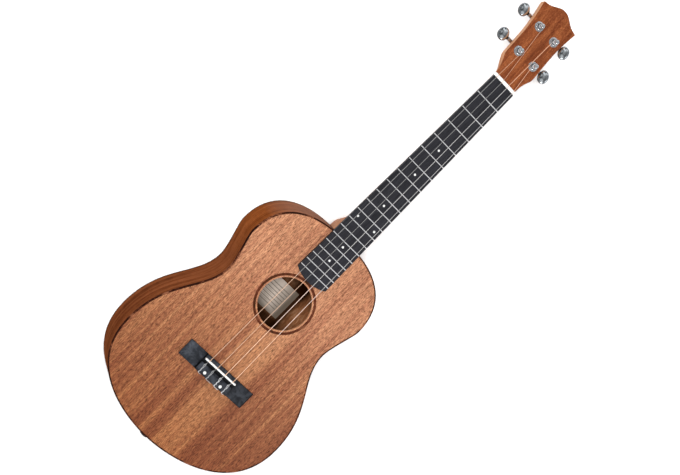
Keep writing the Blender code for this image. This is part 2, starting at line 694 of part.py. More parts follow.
def build_bridge(mats):
    z0 = TOP_Z + GAP
    b, f = BRIDGE_BACK, BRIDGE_FRONT
    # Wings and centre are one block, lofted along X; the wings' ends slope down.
    L = BRIDGE_HALF_LENGTH
    c = BRIDGE_CENTRE_HALF
    stations = ((-L, 1.5, 1.6, 0.5), (-L + 0.9, 2.6, 0.8, 0.9), (-L + 3.1, 3.8, 0.0, 1.3), (-c - 0.35, BRIDGE_WING, 0.0, 1.3),
                (-c, TIE_BLOCK_HEIGHT, 0.0, 0.9))
    loops = []
    for x, h, inset, e in stations + tuple((-x, h, i, e) for x, h, i, e in stations[::-1]):
        y0, y1 = b + inset, f - inset
        loops.append([(x, y, z0 + z) for y, z in (
            (y0, 0.0), (y1, 0.0), (y1, h - e), (y1 - 0.45 * e, h - 0.3 * e), (y1 - 1.4 * e, h),
            (y0 + 1.4 * e, h), (y0 + 0.45 * e, h - 0.3 * e), (y0, h - e))])
    bridge = body_object("bridge", *rings(loops), mats["bridge"])
    # The bed in front, and the channel with the slope that leads up to the tie block.
    bed = along_x([(CHANNEL_FRONT - 1.0, z0 + BRIDGE_CENTRE), (f - 1.5, z0 + BRIDGE_CENTRE),
                   (f - 0.35, z0 + BRIDGE_CENTRE - 0.5), (f + 0.4, z0 + BRIDGE_CENTRE - 1.9),
                   (f + 0.4, z0 + 14), (CHANNEL_FRONT - 1.0, z0 + 14)], -c - 1.0, c + 1.0)
    boolean(bridge, cutter(body_object("cut_bridge_bed", *bed, None)))
    channel = along_x([(CHANNEL_BACK, z0 + CHANNEL_FLOOR), (CHANNEL_FRONT, z0 + CHANNEL_FLOOR),
                       (CHANNEL_FRONT, z0 + 15), (TIE_BLOCK_FRONT, z0 + 15),
                       (TIE_BLOCK_FRONT, z0 + TIE_BLOCK_HEIGHT), (CHANNEL_BACK, z0 + 6.0)], -c - 0.9, c + 0.9)
    boolean(bridge, cutter(body_object("cut_bridge_channel", *channel, None)))
    slot = box(-0.5 * SADDLE_LENGTH - 0.15, 0.5 * SADDLE_LENGTH + 0.15,
               SADDLE_Y - 0.5 * SADDLE_THICKNESS - 0.15, SADDLE_Y + 0.5 * SADDLE_THICKNESS + 0.15,
               z0 + BRIDGE_CENTRE - SADDLE_SLOT_DEPTH, z0 + 15)
    boolean(bridge, cutter(body_object("cut_saddle_slot", *slot, None)))
    holes = []
    for i in range(4):
        x = SADDLE_SPACING * (i - 1.5)
        (ya, za), (yb, zb) = TIE_HOLE_FRONT, TIE_HOLE_BACK
        slope = (za - zb) / (ya - yb)
        holes.append(rings([[(x + p, y, z0 + zb + slope * (y - yb) + q) for p, q, _ in circle(0.95, 0, 8)]
                            for y in (b - 2.0, ya + 2.5)]))
    boolean(bridge, cutter(body_object("cut_tie_holes", *join_shapes(holes), None)))

    t = 0.5 * SADDLE_THICKNESS
    low = z0 + BRIDGE_CENTRE - SADDLE_SLOT_DEPTH + 0.2
    prof = [(SADDLE_Y - t, low), (SADDLE_Y + t, low), (SADDLE_Y + t, SADDLE_TOP - 1.3),
            (SADDLE_Y + 0.72 * t, SADDLE_TOP - 0.45), (SADDLE_Y + 0.3 * t, SADDLE_TOP),
            (SADDLE_Y - 0.3 * t, SADDLE_TOP), (SADDLE_Y - 0.72 * t, SADDLE_TOP - 0.45),
            (SADDLE_Y - t, SADDLE_TOP - 1.3)]
    body_object("saddle", *along_x(prof, -0.5 * SADDLE_LENGTH, 0.5 * SADDLE_LENGTH), mats["saddle"], smooth=40)


def head_point(u, v, w):
    """A point of the headstock's frame in the body's coordinates."""
    c, s = math.cos(HEAD_TILT), math.sin(HEAD_TILT)
    return (u, HEAD_Y + v * c + w * s, HEAD_FACE_Z - v * s + w * c)


def build_strings(mats):
    z0 = TOP_Z + GAP
    for i, name in enumerate(STRING_NAMES):
        r = STRING_RADII[i]
        xs = SADDLE_SPACING * (i - 1.5)
        xn = NUT_SPACING * (i - 1.5)
        side = -1 if i < 2 else 1
        v = POST_V[0] if i in (0, 3) else POST_V[1]
        # Touch the post's waist on its inner side.
        cx, cv = side * POST_X, v
        px, pv = xn, 0.0
        d = math.hypot(cx - px, cv - pv)
        base = math.atan2(cv - pv, cx - px)
        off = math.asin(STRING_ON_POST_R / d)
        ang = base + side * off
        reach = math.sqrt(d * d - STRING_ON_POST_R ** 2)
        end = head_point(px + reach * math.cos(ang), pv + reach * math.sin(ang), POST_WAIST_W)
        zn = STRING_Z_NUT
        (yf, zf), (yr, zr) = TIE_HOLE_FRONT, TIE_HOLE_BACK
        pts = [(xs, yr + 0.6, z0 + zr + 0.1), (xs, yf - 0.6, z0 + zf - 0.1), (xs, yf + 0.2, z0 + zf + 0.15),
               (xs, SADDLE_Y - 1.7, STRING_Z_SADDLE - 0.95), (xs, SADDLE_Y - 0.7, STRING_Z_SADDLE - 0.12),
               (xs, SADDLE_Y + 0.6, STRING_Z_SADDLE - 0.0)]
        ya, za = SADDLE_Y + 0.6, STRING_Z_SADDLE
        yb, zb = NUT_FRONT + 0.6, zn
        for k in range(1, 6):
            t = k / 5.0
            pts.append((xs + (xn - xs) * t, ya + (yb - ya) * t, za + (zb - za) * t))
        leave = (xn, NUT_BACK + GAP, zn - 0.95)
        pts.append(leave)
        for k in (0.33, 0.66):
            pts.append(tuple(Vector(leave).lerp(Vector(end), k)))
        pts.append(end)
        curve = bpy.data.curves.new(name, "CURVE")
        curve.dimensions = "3D"
        curve.bevel_depth = r * MM
        curve.bevel_resolution = 2
        curve.use_fill_caps = True
        sp = curve.splines.new("POLY")
        sp.points.add(len(pts) - 1)
        for p, (x, y, z) in zip(sp.points, pts):
            p.co = (x * MM, place(y) * MM, z * MM, 1.0)
        curve.materials.append(mats[name])
        ob = bpy.data.objects.new(name, curve)
        bpy.context.scene.collection.objects.link(ob)


# ================================================================ tuners
def worm_shaft_shape(side):
    """Worm, shaft and button in one piece about the X axis; +x is outward."""
    n = SHAFT_SIDES
    verts, faces = [], []

    def add(x, r, i, sv=1.0, sw=1.0):
        a = 2 * math.pi * (i % n) / n
        verts.append((x, r * math.cos(a) * sv, r * math.sin(a) * sw))
        return len(verts) - 1

    turns = WORM_TURNS
    x_start = -0.5 * WORM_LEAD * turns
    base, crest = 0.5 * THREAD_BASE, 0.5 * CREST_WIDTH
    P = [[], [], [], []]
    for i in range(turns * n + 1):
        xc = x_start + WORM_LEAD * i / n
        P[0].append(add(xc - base, WORM_ROOT_R, i))
        P[1].append(add(xc - crest, WORM_CREST_R, i))
        P[2].append(add(xc + crest, WORM_CREST_R, i))
        P[3].append(add(xc + base, WORM_ROOT_R, i))
    for i in range(turns * n):
        for k in range(3):
            faces.append([P[k][i], P[k][i + 1], P[k + 1][i + 1], P[k + 1][i]])
    for i in range((turns - 1) * n):
        faces.append([P[3][i], P[3][i + 1], P[0][i + 1 + n], P[0][i + n]])
    # Inner end of the thread: a ring of the root's radius, then the stub.
    c = [add(x_start - base - 0.5, WORM_ROOT_R, i) for i in range(n)]
    for i in range(n - 1):
        faces.append([c[i], c[i + 1], P[0][i + 1], P[0][i]])
    q = c[n - 1]
    for a, b in ((P[0][n - 1], P[0][n]), (P[0][n], P[3][0]), (P[3][0], P[0][0]), (P[0][0], c[0])):
        faces.append([q, a, b])
    faces.append([P[0][0], P[3][0], P[2][0], P[1][0]])
    # Outer end of the thread.
    e = turns * n
    x_end = x_start + WORM_LEAD * turns + base + 0.5
    d = [add(x_end, WORM_ROOT_R, i) for i in range(n)]
    q = P[3][e - n + 1]
    for a, b in ((P[3][e - n], P[0][e]), (P[0][e], P[3][e]), (P[3][e], d[0]), (d[0], d[1])):
        faces.append([q, a, b])
    for i in range(1, n):
        faces.append([P[3][e - n + i], P[3][e - n + i + 1], d[(i + 1) % n], d[i]])
    faces.append([P[0][e], P[1][e], P[2][e], P[3][e]])

    def ring(x, rv, rw):
        out = []
        for i in range(n):
            a = 2 * math.pi * i / n
            verts.append((x, rv * math.cos(a), rw * math.sin(a)))
            out.append(len(verts) - 1)
        return out

    def bridge(a, b):
        for i in range(n):
            j = (i + 1) % n
            faces.append([a[i], a[j], b[j], b[i]])

    stub = ring(x_start - base - 0.5, 1.15, 1.15)
    bridge(c, stub)
    tip = ring(x_start - base - 1.35, 1.15, 1.15)
    bridge(stub, tip)
    faces.append(tip[::-1])

    last = d
    mid = BUTTON_X - POST_X
    collar_end = mid - BUTTON_U - 0.2
    for x, rv, rw in ((collar_end, WORM_ROOT_R, WORM_ROOT_R),):
        r = ring(x, rv, rw)
        bridge(last, r)
        last = r
    for s in (-0.93, -0.78, -0.5, -0.15, 0.25, 0.6, 0.85, 0.97):
        k = math.sqrt(max(0.0, 1.0 - abs(s) ** 2.2))
        kw = math.sqrt(max(0.0, 1.0 - abs(s) ** 3.2))
        r = ring(mid + BUTTON_U * s, max(1.6, BUTTON_V * k), max(1.5, BUTTON_W * kw))
        bridge(last, r)
        last = r
    verts.append((mid + BUTTON_U, 0.0, 0.0))
    pole = len(verts) - 1
    for i in range(n):
        faces.append([last[i], last[(i + 1) % n], pole])
    if side < 0:
        verts = [(-x, y, z) for x, y, z in verts]
    return verts, faces


def post_shape(side):
    """String post with its worm wheel, about Z, counted from the headstock's face."""
    n = WHEEL_TEETH
    phase = math.pi / n
    verts, faces = [], []

    def ring(r, z):
        k = len(verts)
        verts.extend(circle(r, z, n, phase))
        return list(range(k, k + n))

    def bridge(a, b):
        for i in range(n):
            j = (i + 1) % n
            faces.append([a[i], a[j], b[j], b[i]])

    verts.append((0.0, 0.0, 11.4))
    last = ring(2.3, 11.2)
    for i in range(n):
        faces.append([0, last[i], last[(i + 1) % n]])
    for r, z in ((2.95, 10.6), (2.95, 8.1), (POST_WAIST_R, 7.4), (POST_WAIST_R, 5.2), (2.85, 4.6),
                 (2.85, WORM_W + WHEEL_HALF)):
        nxt = ring(r, z)
        bridge(last, nxt)
        last = nxt

    # The wheel: four points to a tooth, twisted to the worm's lead.
    twist = WORM_LEAD / (2 * math.pi * WORM_PITCH_R) / WHEEL_PITCH_R
    def tooth_ring(z):
        out = []
        shift = -side * twist * (z - WORM_W)
        for k in range(n):
            mid = math.pi / 2 + 2 * math.pi * k / n + shift
            for r, half in ((WHEEL_ROOT_R, -0.5 * TOOTH_BASE), (WHEEL_TIP_R, -0.5 * TOOTH_TIP),
                            (WHEEL_TIP_R, 0.5 * TOOTH_TIP), (WHEEL_ROOT_R, 0.5 * TOOTH_BASE)):
                a = mid + half / r
                verts.append((r * math.cos(a), r * math.sin(a), z))
                out.append(len(verts) - 1)
        return out

    def face_of(inner, teeth):
        # inner[i] lies between tooth i - offset and the next one
        for i in range(n):
            j = (i + 1) % n
            k = nearest(inner[i], teeth)
            run = [teeth[(k + m) % (4 * n)] for m in range(5)]
            faces.append([inner[i], *run, inner[j]])

    def nearest(v, teeth):
        # index of the first root point of the tooth that follows this angle
        a = math.atan2(verts[v][1], verts[v][0])
        best, where = None, 0
        for k in range(n):
            b = math.atan2(verts[teeth[4 * k]][1], verts[teeth[4 * k]][0])
            d = (b - a) % (2 * math.pi)
            if d > math.pi:
                d -= 2 * math.pi
            if best is None or abs(d) < best:
                best, where = abs(d), 4 * k
        return where

    upper = tooth_ring(WORM_W + WHEEL_HALF)
    middle = tooth_ring(WORM_W)
    lower = tooth_ring(WORM_W - WHEEL_HALF)
    face_of(last, upper)
    for a, b in ((upper, middle), (middle, lower)):
        for i in range(4 * n):
            j = (i + 1) % (4 * n)
            faces.append([a[i], a[j], b[j], b[i]])
    stub = ring(1.8, WORM_W - WHEEL_HALF)
    face_of(stub, lower)
    end = ring(1.8, -19.3)
    bridge(stub, end)
    faces.append(end)
    return verts, faces


def bushing_shape():
    """Bushing: sleeve, washer flange and six-sided head."""
    n = SHAFT_SIDES
    def hexagon(across, z):
        out = []
        for i in range(n):
            a = 2 * math.pi * i / n
            r = 0.5 * across if i % 2 else 0.5 * across / math.cos(math.pi / 6)
            out.append((r * math.cos(a), r * math.sin(a), z))
        return out
    loops = [circle(3.15, -10.5, n), circle(4.3, -10.5, n), circle(4.3, 0.3, n), circle(6.3, 0.3, n),
             circle(6.3, 0.9, n), circle(5.8, 1.15, n), hexagon(9.4, 1.15), hexagon(9.4, 2.7),
             circle(4.3, 3.1, n), circle(3.15, 3.1, n), circle(3.15, -10.5, n)]
    return close_torus(rings(loops, False, False), n)


def housing_outline(side):
    half, low, high = 7.3, -7.6, 11.7
    pts = []
    for cx, cy, r, a0 in ((half - 2.2, high - 2.2, 2.2, 0), (-half + 2.2, high - 2.2, 2.2, 90),
                          (-half + 5.2, low + 5.2, 5.2, 180), (half - 5.2, low + 5.2, 5.2, 270)):
        for i in range(4):
            a = math.radians(a0 + 30 * i)
            pts.append((cx + r * math.cos(a), cy + r * math.sin(a)))
    return pts


def build_tuners(mats, frame):
    back = -HEAD_THICKNESS - GAP
    for index, (side, v) in enumerate(((-1, POST_V[0]), (-1, POST_V[1]), (1, POST_V[1]), (1, POST_V[0]))):
        tag = ("d", "g", "b", "e")[index]
        at = (side * POST_X, v, 0.0)
        shell = mesh_object("housing_" + tag, *prism(housing_outline(side), -19.6, back),
                            mats["housing_" + tag], parent=frame, location=at)
        lug = prism([(2.9 * math.cos(math.radians(a)), -9.4 + 2.9 * math.sin(math.radians(a)))
                     for a in range(180, 361, 30)] + [(2.9, -6.0), (-2.9, -6.0)], back - 2.6, back)
        boolean(shell, cutter(mesh_object("add_lug_" + tag, *lug, None, parent=frame, location=at)), "UNION")
        reach = BUTTON_X - POST_X - BUTTON_U - 0.5
        collar = cylinder_x(2.6, side * 5.9, side * reach, 12, WORM_OFFSET, WORM_W)
        boolean(shell, cutter(mesh_object("add_collar_" + tag, *collar, None, parent=frame, location=at)), "UNION")
        for label, shape in (
                ("wheel", cylinder_z(5.45, -17.1, back + 4, 18)),
                ("worm", box(-5.35, 5.35, WORM_OFFSET - 3.15, WORM_OFFSET + 3.15, -17.55, back + 5)),
                ("post", cylinder_z(1.98, -22.0, -16.0, 12)),
                ("shaft", cylinder_x(1.78, side * 4.5, side * (reach + 3), 12, WORM_OFFSET, WORM_W)),
                ("stub", cylinder_x(1.35, side * -6.4, side * -4.5, 12, WORM_OFFSET, WORM_W)),
                ("screw", cylinder_z(1.1, back - 5, back + 3, 10, 0.0, -9.4))):
            tool = cutter(mesh_object("cut_%s_%s" % (label, tag), *shape, None, parent=frame, location=at))
            boolean(shell, tool)
        mesh_object("post_" + tag, *post_shape(side), mats["post_" + tag], parent=frame, location=at, smooth=35)
        mesh_object("worm_shaft_" + tag, *worm_shaft_shape(side), mats["worm_shaft_" + tag], parent=frame,
                    location=(at[0], v + WORM_OFFSET, WORM_W), smooth=35)
        mesh_object("bushing_" + tag, *bushing_shape(), mats["bushing_" + tag], parent=frame,
                    location=at, smooth=35)


def main():
    clear_scene()
    mats = {}
    looks = {
        "soundboard": ((0.36, 0.15, 0.075), 0.5, 0.0),
        "back_plate": ((0.30, 0.12, 0.06), 0.45, 0.0),
        "rib_bass": ((0.33, 0.11, 0.035), 0.35, 0.0),
        "rib_treble": ((0.33, 0.11, 0.035), 0.35, 0.0),
        "neck_block": ((0.55, 0.36, 0.2), 0.7, 0.0),
        "tail_block": ((0.55, 0.36, 0.2), 0.7, 0.0),
        "bridge_patch": ((0.55, 0.36, 0.2), 0.7, 0.0),
        "brace_top_upper": ((0.66, 0.48, 0.28), 0.7, 0.0),
        "brace_top_lower": ((0.66, 0.48, 0.28), 0.7, 0.0),
        "brace_back_upper": ((0.66, 0.48, 0.28), 0.7, 0.0),
        "brace_back_lower": ((0.66, 0.48, 0.28), 0.7, 0.0),
        "fan_brace_bass": ((0.66, 0.48, 0.28), 0.7, 0.0),
        "fan_brace_treble": ((0.66, 0.48, 0.28), 0.7, 0.0),
        "binding": ((0.03, 0.012, 0.007), 0.25, 0.0),
        "rosette": ((0.03, 0.012, 0.007), 0.25, 0.0),
        "bridge": ((0.025, 0.026, 0.03), 0.5, 0.0),
        "saddle": ((0.85, 0.84, 0.8), 0.35, 0.0),
        "strap_button": ((0.02, 0.02, 0.02), 0.35, 0.0),
        "neck": ((0.38, 0.13, 0.05), 0.45, 0.0),
        "fretboard": ((0.028, 0.028, 0.03), 0.55, 0.0),
        "nut": ((0.85, 0.84, 0.8), 0.35, 0.0),
    }
    for n in range(1, FRET_COUNT + 1):
        looks["fret_%02d" % n] = ((0.7, 0.7, 0.72), 0.25, 1.0)
    for name in STRING_NAMES:
        looks[name] = ((0.8, 0.8, 0.82), 0.3, 0.0)
    for tag in "dgbe":
        looks["housing_" + tag] = ((0.75, 0.75, 0.77), 0.18, 1.0)
        looks["worm_shaft_" + tag] = ((0.8, 0.8, 0.82), 0.1, 1.0)
        looks["post_" + tag] = ((0.8, 0.8, 0.82), 0.12, 1.0)
        looks["bushing_" + tag] = ((0.8, 0.8, 0.82), 0.12, 1.0)
    for name, (colour, rough, metal) in looks.items():
        mats[name] = material(name, colour, rough, metal)

    frame = bpy.data.objects.new("headstock_frame", None)
    bpy.context.scene.collection.objects.link(frame)
    frame.location = (0.0, place(HEAD_Y) * MM, HEAD_FACE_Z * MM)
    frame.rotation_euler = (-HEAD_TILT, 0.0, 0.0)

    build_body(mats)
    build_neck(mats, frame)
    build_board(mats)
    build_bridge(mats)
    build_strings(mats)
    build_tuners(mats, frame)


main()
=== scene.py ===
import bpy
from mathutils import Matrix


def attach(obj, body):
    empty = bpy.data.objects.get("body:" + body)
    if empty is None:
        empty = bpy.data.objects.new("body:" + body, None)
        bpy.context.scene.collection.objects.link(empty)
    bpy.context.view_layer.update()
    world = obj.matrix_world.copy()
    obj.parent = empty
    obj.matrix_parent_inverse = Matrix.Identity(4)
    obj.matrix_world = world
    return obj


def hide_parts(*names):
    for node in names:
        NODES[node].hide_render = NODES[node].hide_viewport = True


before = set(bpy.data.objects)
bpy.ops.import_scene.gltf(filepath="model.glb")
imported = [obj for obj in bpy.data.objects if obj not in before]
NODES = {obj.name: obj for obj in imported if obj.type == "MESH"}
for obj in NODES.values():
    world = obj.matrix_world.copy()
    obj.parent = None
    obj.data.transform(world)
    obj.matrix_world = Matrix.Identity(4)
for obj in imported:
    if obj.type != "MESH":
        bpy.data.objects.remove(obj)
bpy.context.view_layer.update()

import math

import bmesh
import bpy
from mathutils import Matrix, Vector

MM = 0.001

# ---------------------------------------------------------------- design dimensions, in mm
ORIGIN_Y = 249.494285
TOP_Z = 76.0
TAIL_Y = -128.8
NECK_END_Y = 227.5
WIDEST, WAIST, UPPER = (133.2, -31.0), (86.5, 101.5), (98.7, 155.5)
OUTLINE = (((0.0, TAIL_Y), (38.0, TAIL_Y), (133.2, -116.0), WIDEST),
           (WIDEST, (133.2, 38.5), (86.5, 59.0), WAIST),
           (WAIST, (86.5, 116.0), (98.7, 145.8), UPPER),
           (UPPER, (98.7, 231.0), (15.0, NECK_END_Y), (0.0, NECK_END_Y)))
TOP_T = 2.4
BACK_T = 2.4
RIB_T = 2.2
BINDING_W, BINDING_H = 1.8, 3.6
HOLE_Y, HOLE_R = 115.8, 35.4
ROSE_IN, ROSE_OUT = 37.6, 41.1
BOARD_TOP = 81.0
BOARD_Z = 76.3
SCALE_LENGTH, COMPENSATION = 510.0, 1.5
BOARD_WIDTH_NUT, BOARD_WIDTH_LAST = 37.3, 50.2
NUT_FRONT, NUT_BACK, NUT_TOP, NUT_LENGTH = 508.8, 513.4, 82.9, 37.7
HEAD_Y, HEAD_FACE_Z, HEAD_T, HEAD_LENGTH = 513.7, 77.0, 10.8, 125.3
TILT = math.radians(13.0)
HEEL_Y, HEEL_DEPTH, HEEL_CAP, HEEL_SWEEP, HEEL_HALF = 227.8, 71.0, 4.0, 23.5, 12.5
NECK_DEPTH_NUT, NECK_DEPTH_HEEL = 14.0, 16.5
SADDLE_SPACING, NUT_SPACING = 13.9, 10.0
SADDLE_Y, SADDLE_T, SADDLE_LENGTH, SADDLE_TOP = -1.9, 2.5, 53.2, 86.9
POST_X, POST_V = 14.3, (41.1, 84.3)
TAGS = (("d", -1, 41.1), ("g", -1, 84.3), ("b", 1, 84.3), ("e", 1, 41.1))
STRINGS = (("string_4_d", 0.42, True), ("string_3_g", 0.38, True), ("string_2_b", 0.45, False),
           ("string_1_e", 0.38, False))
STRING_Z_NUT = 82.5
WORM_OFFSET, WORM_W = 6.8, -14.5
TEETH, PITCH_R, TIP_R, ROOT_R, WHEEL_HALF = 14, 4.5, 5.0, 3.75, 1.8
WORM_LEAD = 2.0 * math.pi * PITCH_R / TEETH
BUTTON_X, BUTTON_U, BUTTON_V, BUTTON_W = 40.0, 7.9, 9.4, 3.5


def P(x, y, z):
    """A point counted from the saddle, in mm, as row frame metres."""
    return Vector((x * MM, (y - ORIGIN_Y) * MM, z * MM))


def head(u, v, w):
    """A point of the headstock's own frame, in mm from the saddle."""
    c, s = math.cos(TILT), math.sin(TILT)
    return (u, HEAD_Y + v * c + w * s, HEAD_FACE_Z - v * s + w * c)


def fret_y(n):
    return -COMPENSATION + SCALE_LENGTH * 2.0 ** (-n / 12.0)


def board_half(y):
    slope = (BOARD_WIDTH_LAST - BOARD_WIDTH_NUT) / (fret_y(0) - fret_y(19))
    return 0.5 * (BOARD_WIDTH_NUT + slope * (fret_y(0) - y))


# ---------------------------------------------------------------- materials
class Mat:
    """A node material with short calls for the textures that it is mixed from."""

    def __init__(self, name):
        self.m = bpy.data.materials.new(name)
        self.m.use_nodes = True
        self.t = self.m.node_tree
        self.p = self.t.nodes["Principled BSDF"]
        self.co = self.t.nodes.new("ShaderNodeTexCoord").outputs["Object"]

    def link(self, a, b):
        self.t.links.new(a, b)

    def new(self, kind, **kw):
        n = self.t.nodes.new(kind)
        for k, v in kw.items():
            setattr(n, k, v)
        return n

    def stretch(self, size, shift=(0, 0, 0), source=None):
        """Coordinates counted in features of the given size, in mm."""
        n = self.new("ShaderNodeMapping")
        n.inputs["Scale"].default_value = [1000.0 / s for s in size]
        n.inputs["Location"].default_value = shift
        self.link(source or self.co, n.inputs["Vector"])
        return n.outputs["Vector"]

    def noise(self, size, detail=2.0, rough=0.5, warp=0.0, shift=(0, 0, 0), source=None):
        n = self.new("ShaderNodeTexNoise")
        n.inputs["Scale"].default_value = 1.0
        n.inputs["Detail"].default_value = detail
        n.inputs["Roughness"].default_value = rough
        n.inputs["Distortion"].default_value = warp
        self.link(self.stretch(size, shift, source), n.inputs["Vector"])
        return n.outputs["Fac"]

    def ramp(self, value, stops):
        n = self.new("ShaderNodeValToRGB")
        e = n.color_ramp.elements
        while len(e) < len(stops):
            e.new(0.5)
        for i, (pos, col) in enumerate(stops):
            e[i].position = pos
            e[i].color = (*col, 1.0) if hasattr(col, "__len__") else (col, col, col, 1.0)
        self.link(value, n.inputs["Fac"])
        return n.outputs["Color"]

    def span(self, value, a, b, c, d):
        n = self.new("ShaderNodeMapRange")
        for k, v in zip(("From Min", "From Max", "To Min", "To Max"), (a, b, c, d)):
            n.inputs[k].default_value = v
        self.link(value, n.inputs["Value"])
        return n.outputs["Result"]

    def mix(self, fac, a, b, mode="MIX"):
        n = self.new("ShaderNodeMix", data_type="RGBA", blend_type=mode)
        for socket, v in ((n.inputs[0], fac), (n.inputs[6], a), (n.inputs[7], b)):
            if isinstance(v, bpy.types.NodeSocket):
                self.link(v, socket)
            elif hasattr(v, "__len__"):
                socket.default_value = (*v, 1.0)
            else:
                socket.default_value = v
        return n.outputs[2]

    def math(self, op, a, b=0.5):
        n = self.new("ShaderNodeMath", operation=op)
        for socket, v in zip(n.inputs, (a, b)):
            if isinstance(v, bpy.types.NodeSocket):
                self.link(v, socket)
            else:
                socket.default_value = v
        return n.outputs[0]

    def axis(self, which):
        """One coordinate in mm, with Y counted from the saddle."""
        n = self.new("ShaderNodeSeparateXYZ")
        self.link(self.co, n.inputs[0])
        v = self.math("MULTIPLY", n.outputs["XYZ".index(which)], 1000.0)
        return self.math("ADD", v, ORIGIN_Y) if which == "Y" else v

    def mirrored(self):
        """Coordinates whose X is the same on both sides of the centre line."""
        n = self.new("ShaderNodeSeparateXYZ")
        self.link(self.co, n.inputs[0])
        c = self.new("ShaderNodeCombineXYZ")
        self.link(self.math("ABSOLUTE", n.outputs[0]), c.inputs[0])
        self.link(n.outputs[1], c.inputs[1])
        self.link(n.outputs[2], c.inputs[2])
        return c.outputs[0]

    def out(self, colour=None, rough=None, height=None, strength=0.3, distance=0.0002, **fixed):
        if colour is not None:
            self.link(colour, self.p.inputs["Base Color"])
        if rough is not None:
            if isinstance(rough, bpy.types.NodeSocket):
                self.link(rough, self.p.inputs["Roughness"])
            else:
                self.p.inputs["Roughness"].default_value = rough
        if height is not None:
            b = self.new("ShaderNodeBump")
            b.inputs["Strength"].default_value = strength
            b.inputs["Distance"].default_value = distance
            self.link(height, b.inputs["Height"])
            self.link(b.outputs["Normal"], self.p.inputs["Normal"])
        for k, v in fixed.items():
            self.p.inputs[k.replace("_", " ")].default_value = v
        return self.m


def scaled(colour, k):
    return [min(1.0, c * k) for c in colour]


def grained(m, light, dark, deep, grain="y", band=26.0, pore=0.55, pore_size=(0.8, 6.5), seed=0.0, ribbon=0.2,
            fleck=0.30, streak=1.0, source=None):
    """Open-pored wood: broad bands, fine lines along the grain and short dark pores."""
    def size(across, along, depth=None):
        depth = depth or across
        if grain == "y":
            return (across, along, depth)
        if grain == "x":
            return (along, across, depth)
        return (along, along, across)          # bent sides: fine steps up the side only

    shift = (seed, seed * 0.7, seed * 1.3)
    bands = m.noise(size(band, band * 14, band * 3), 2, 0.5, 0.5, shift, source)
    fine = m.noise(size(band * 0.2, band * 9, band), 3, 0.62, 0.25, shift, source)
    fibre = m.noise(size(0.9, 34.0, 3.0), 2, 0.6, 0.0, shift, source)
    cross = m.noise(size(34.0, 11.0, 30.0), 2, 0.5, 0.4, shift, source)
    tone = m.math("ADD", m.math("MULTIPLY", bands, 0.58), m.math("MULTIPLY", fine, 0.42))
    half = 0.17 / streak
    colour = m.ramp(tone, ((0.5 - half, deep), (0.5, dark), (0.5 + half * 0.75, light)))
    colour = m.mix(m.span(cross, 0.4, 0.7, 0.0, ribbon), colour, scaled(light, 1.18))
    colour = m.mix(m.span(fibre, 0.3, 0.7, 0.30, 0.0), colour, scaled(dark, 0.60))
    flecks = m.noise(size(pore_size[0] * 1.3, pore_size[1] * 0.9, 2.0), 2, 0.7, 0.0, (seed + 7.7, seed, seed), source)
    colour = m.mix(m.span(flecks, 0.42, 0.62, fleck, 0.0), colour, scaled(dark, 0.55))
    colour = m.mix(m.span(flecks, 0.54, 0.70, 0.0, fleck * 0.8), colour, scaled(light, 1.35))
    ticks = m.noise(size(pore_size[0], pore_size[1], 1.6), 1, 0.5, 0.0, (seed + 3.1, seed, seed), source)
    ticks = m.span(ticks, 0.58, 0.68, 0.0, 1.0)
    colour = m.mix(m.math("MULTIPLY", ticks, pore), colour, scaled(dark, 0.25))
    return colour, fibre, m.math("SUBTRACT", m.math("MULTIPLY", fibre, 0.5), ticks)


def wood(name, light, dark, deep, rough=(0.42, 0.6), bump=0.25, spec=0.3, **kw):
    m = Mat(name)
    colour, fibre, height = grained(m, light, dark, deep, **kw)
    return m.out(colour, m.span(fibre, 0.2, 0.8, rough[1], rough[0]), height, bump, 0.00012, Specular_IOR_Level=spec)


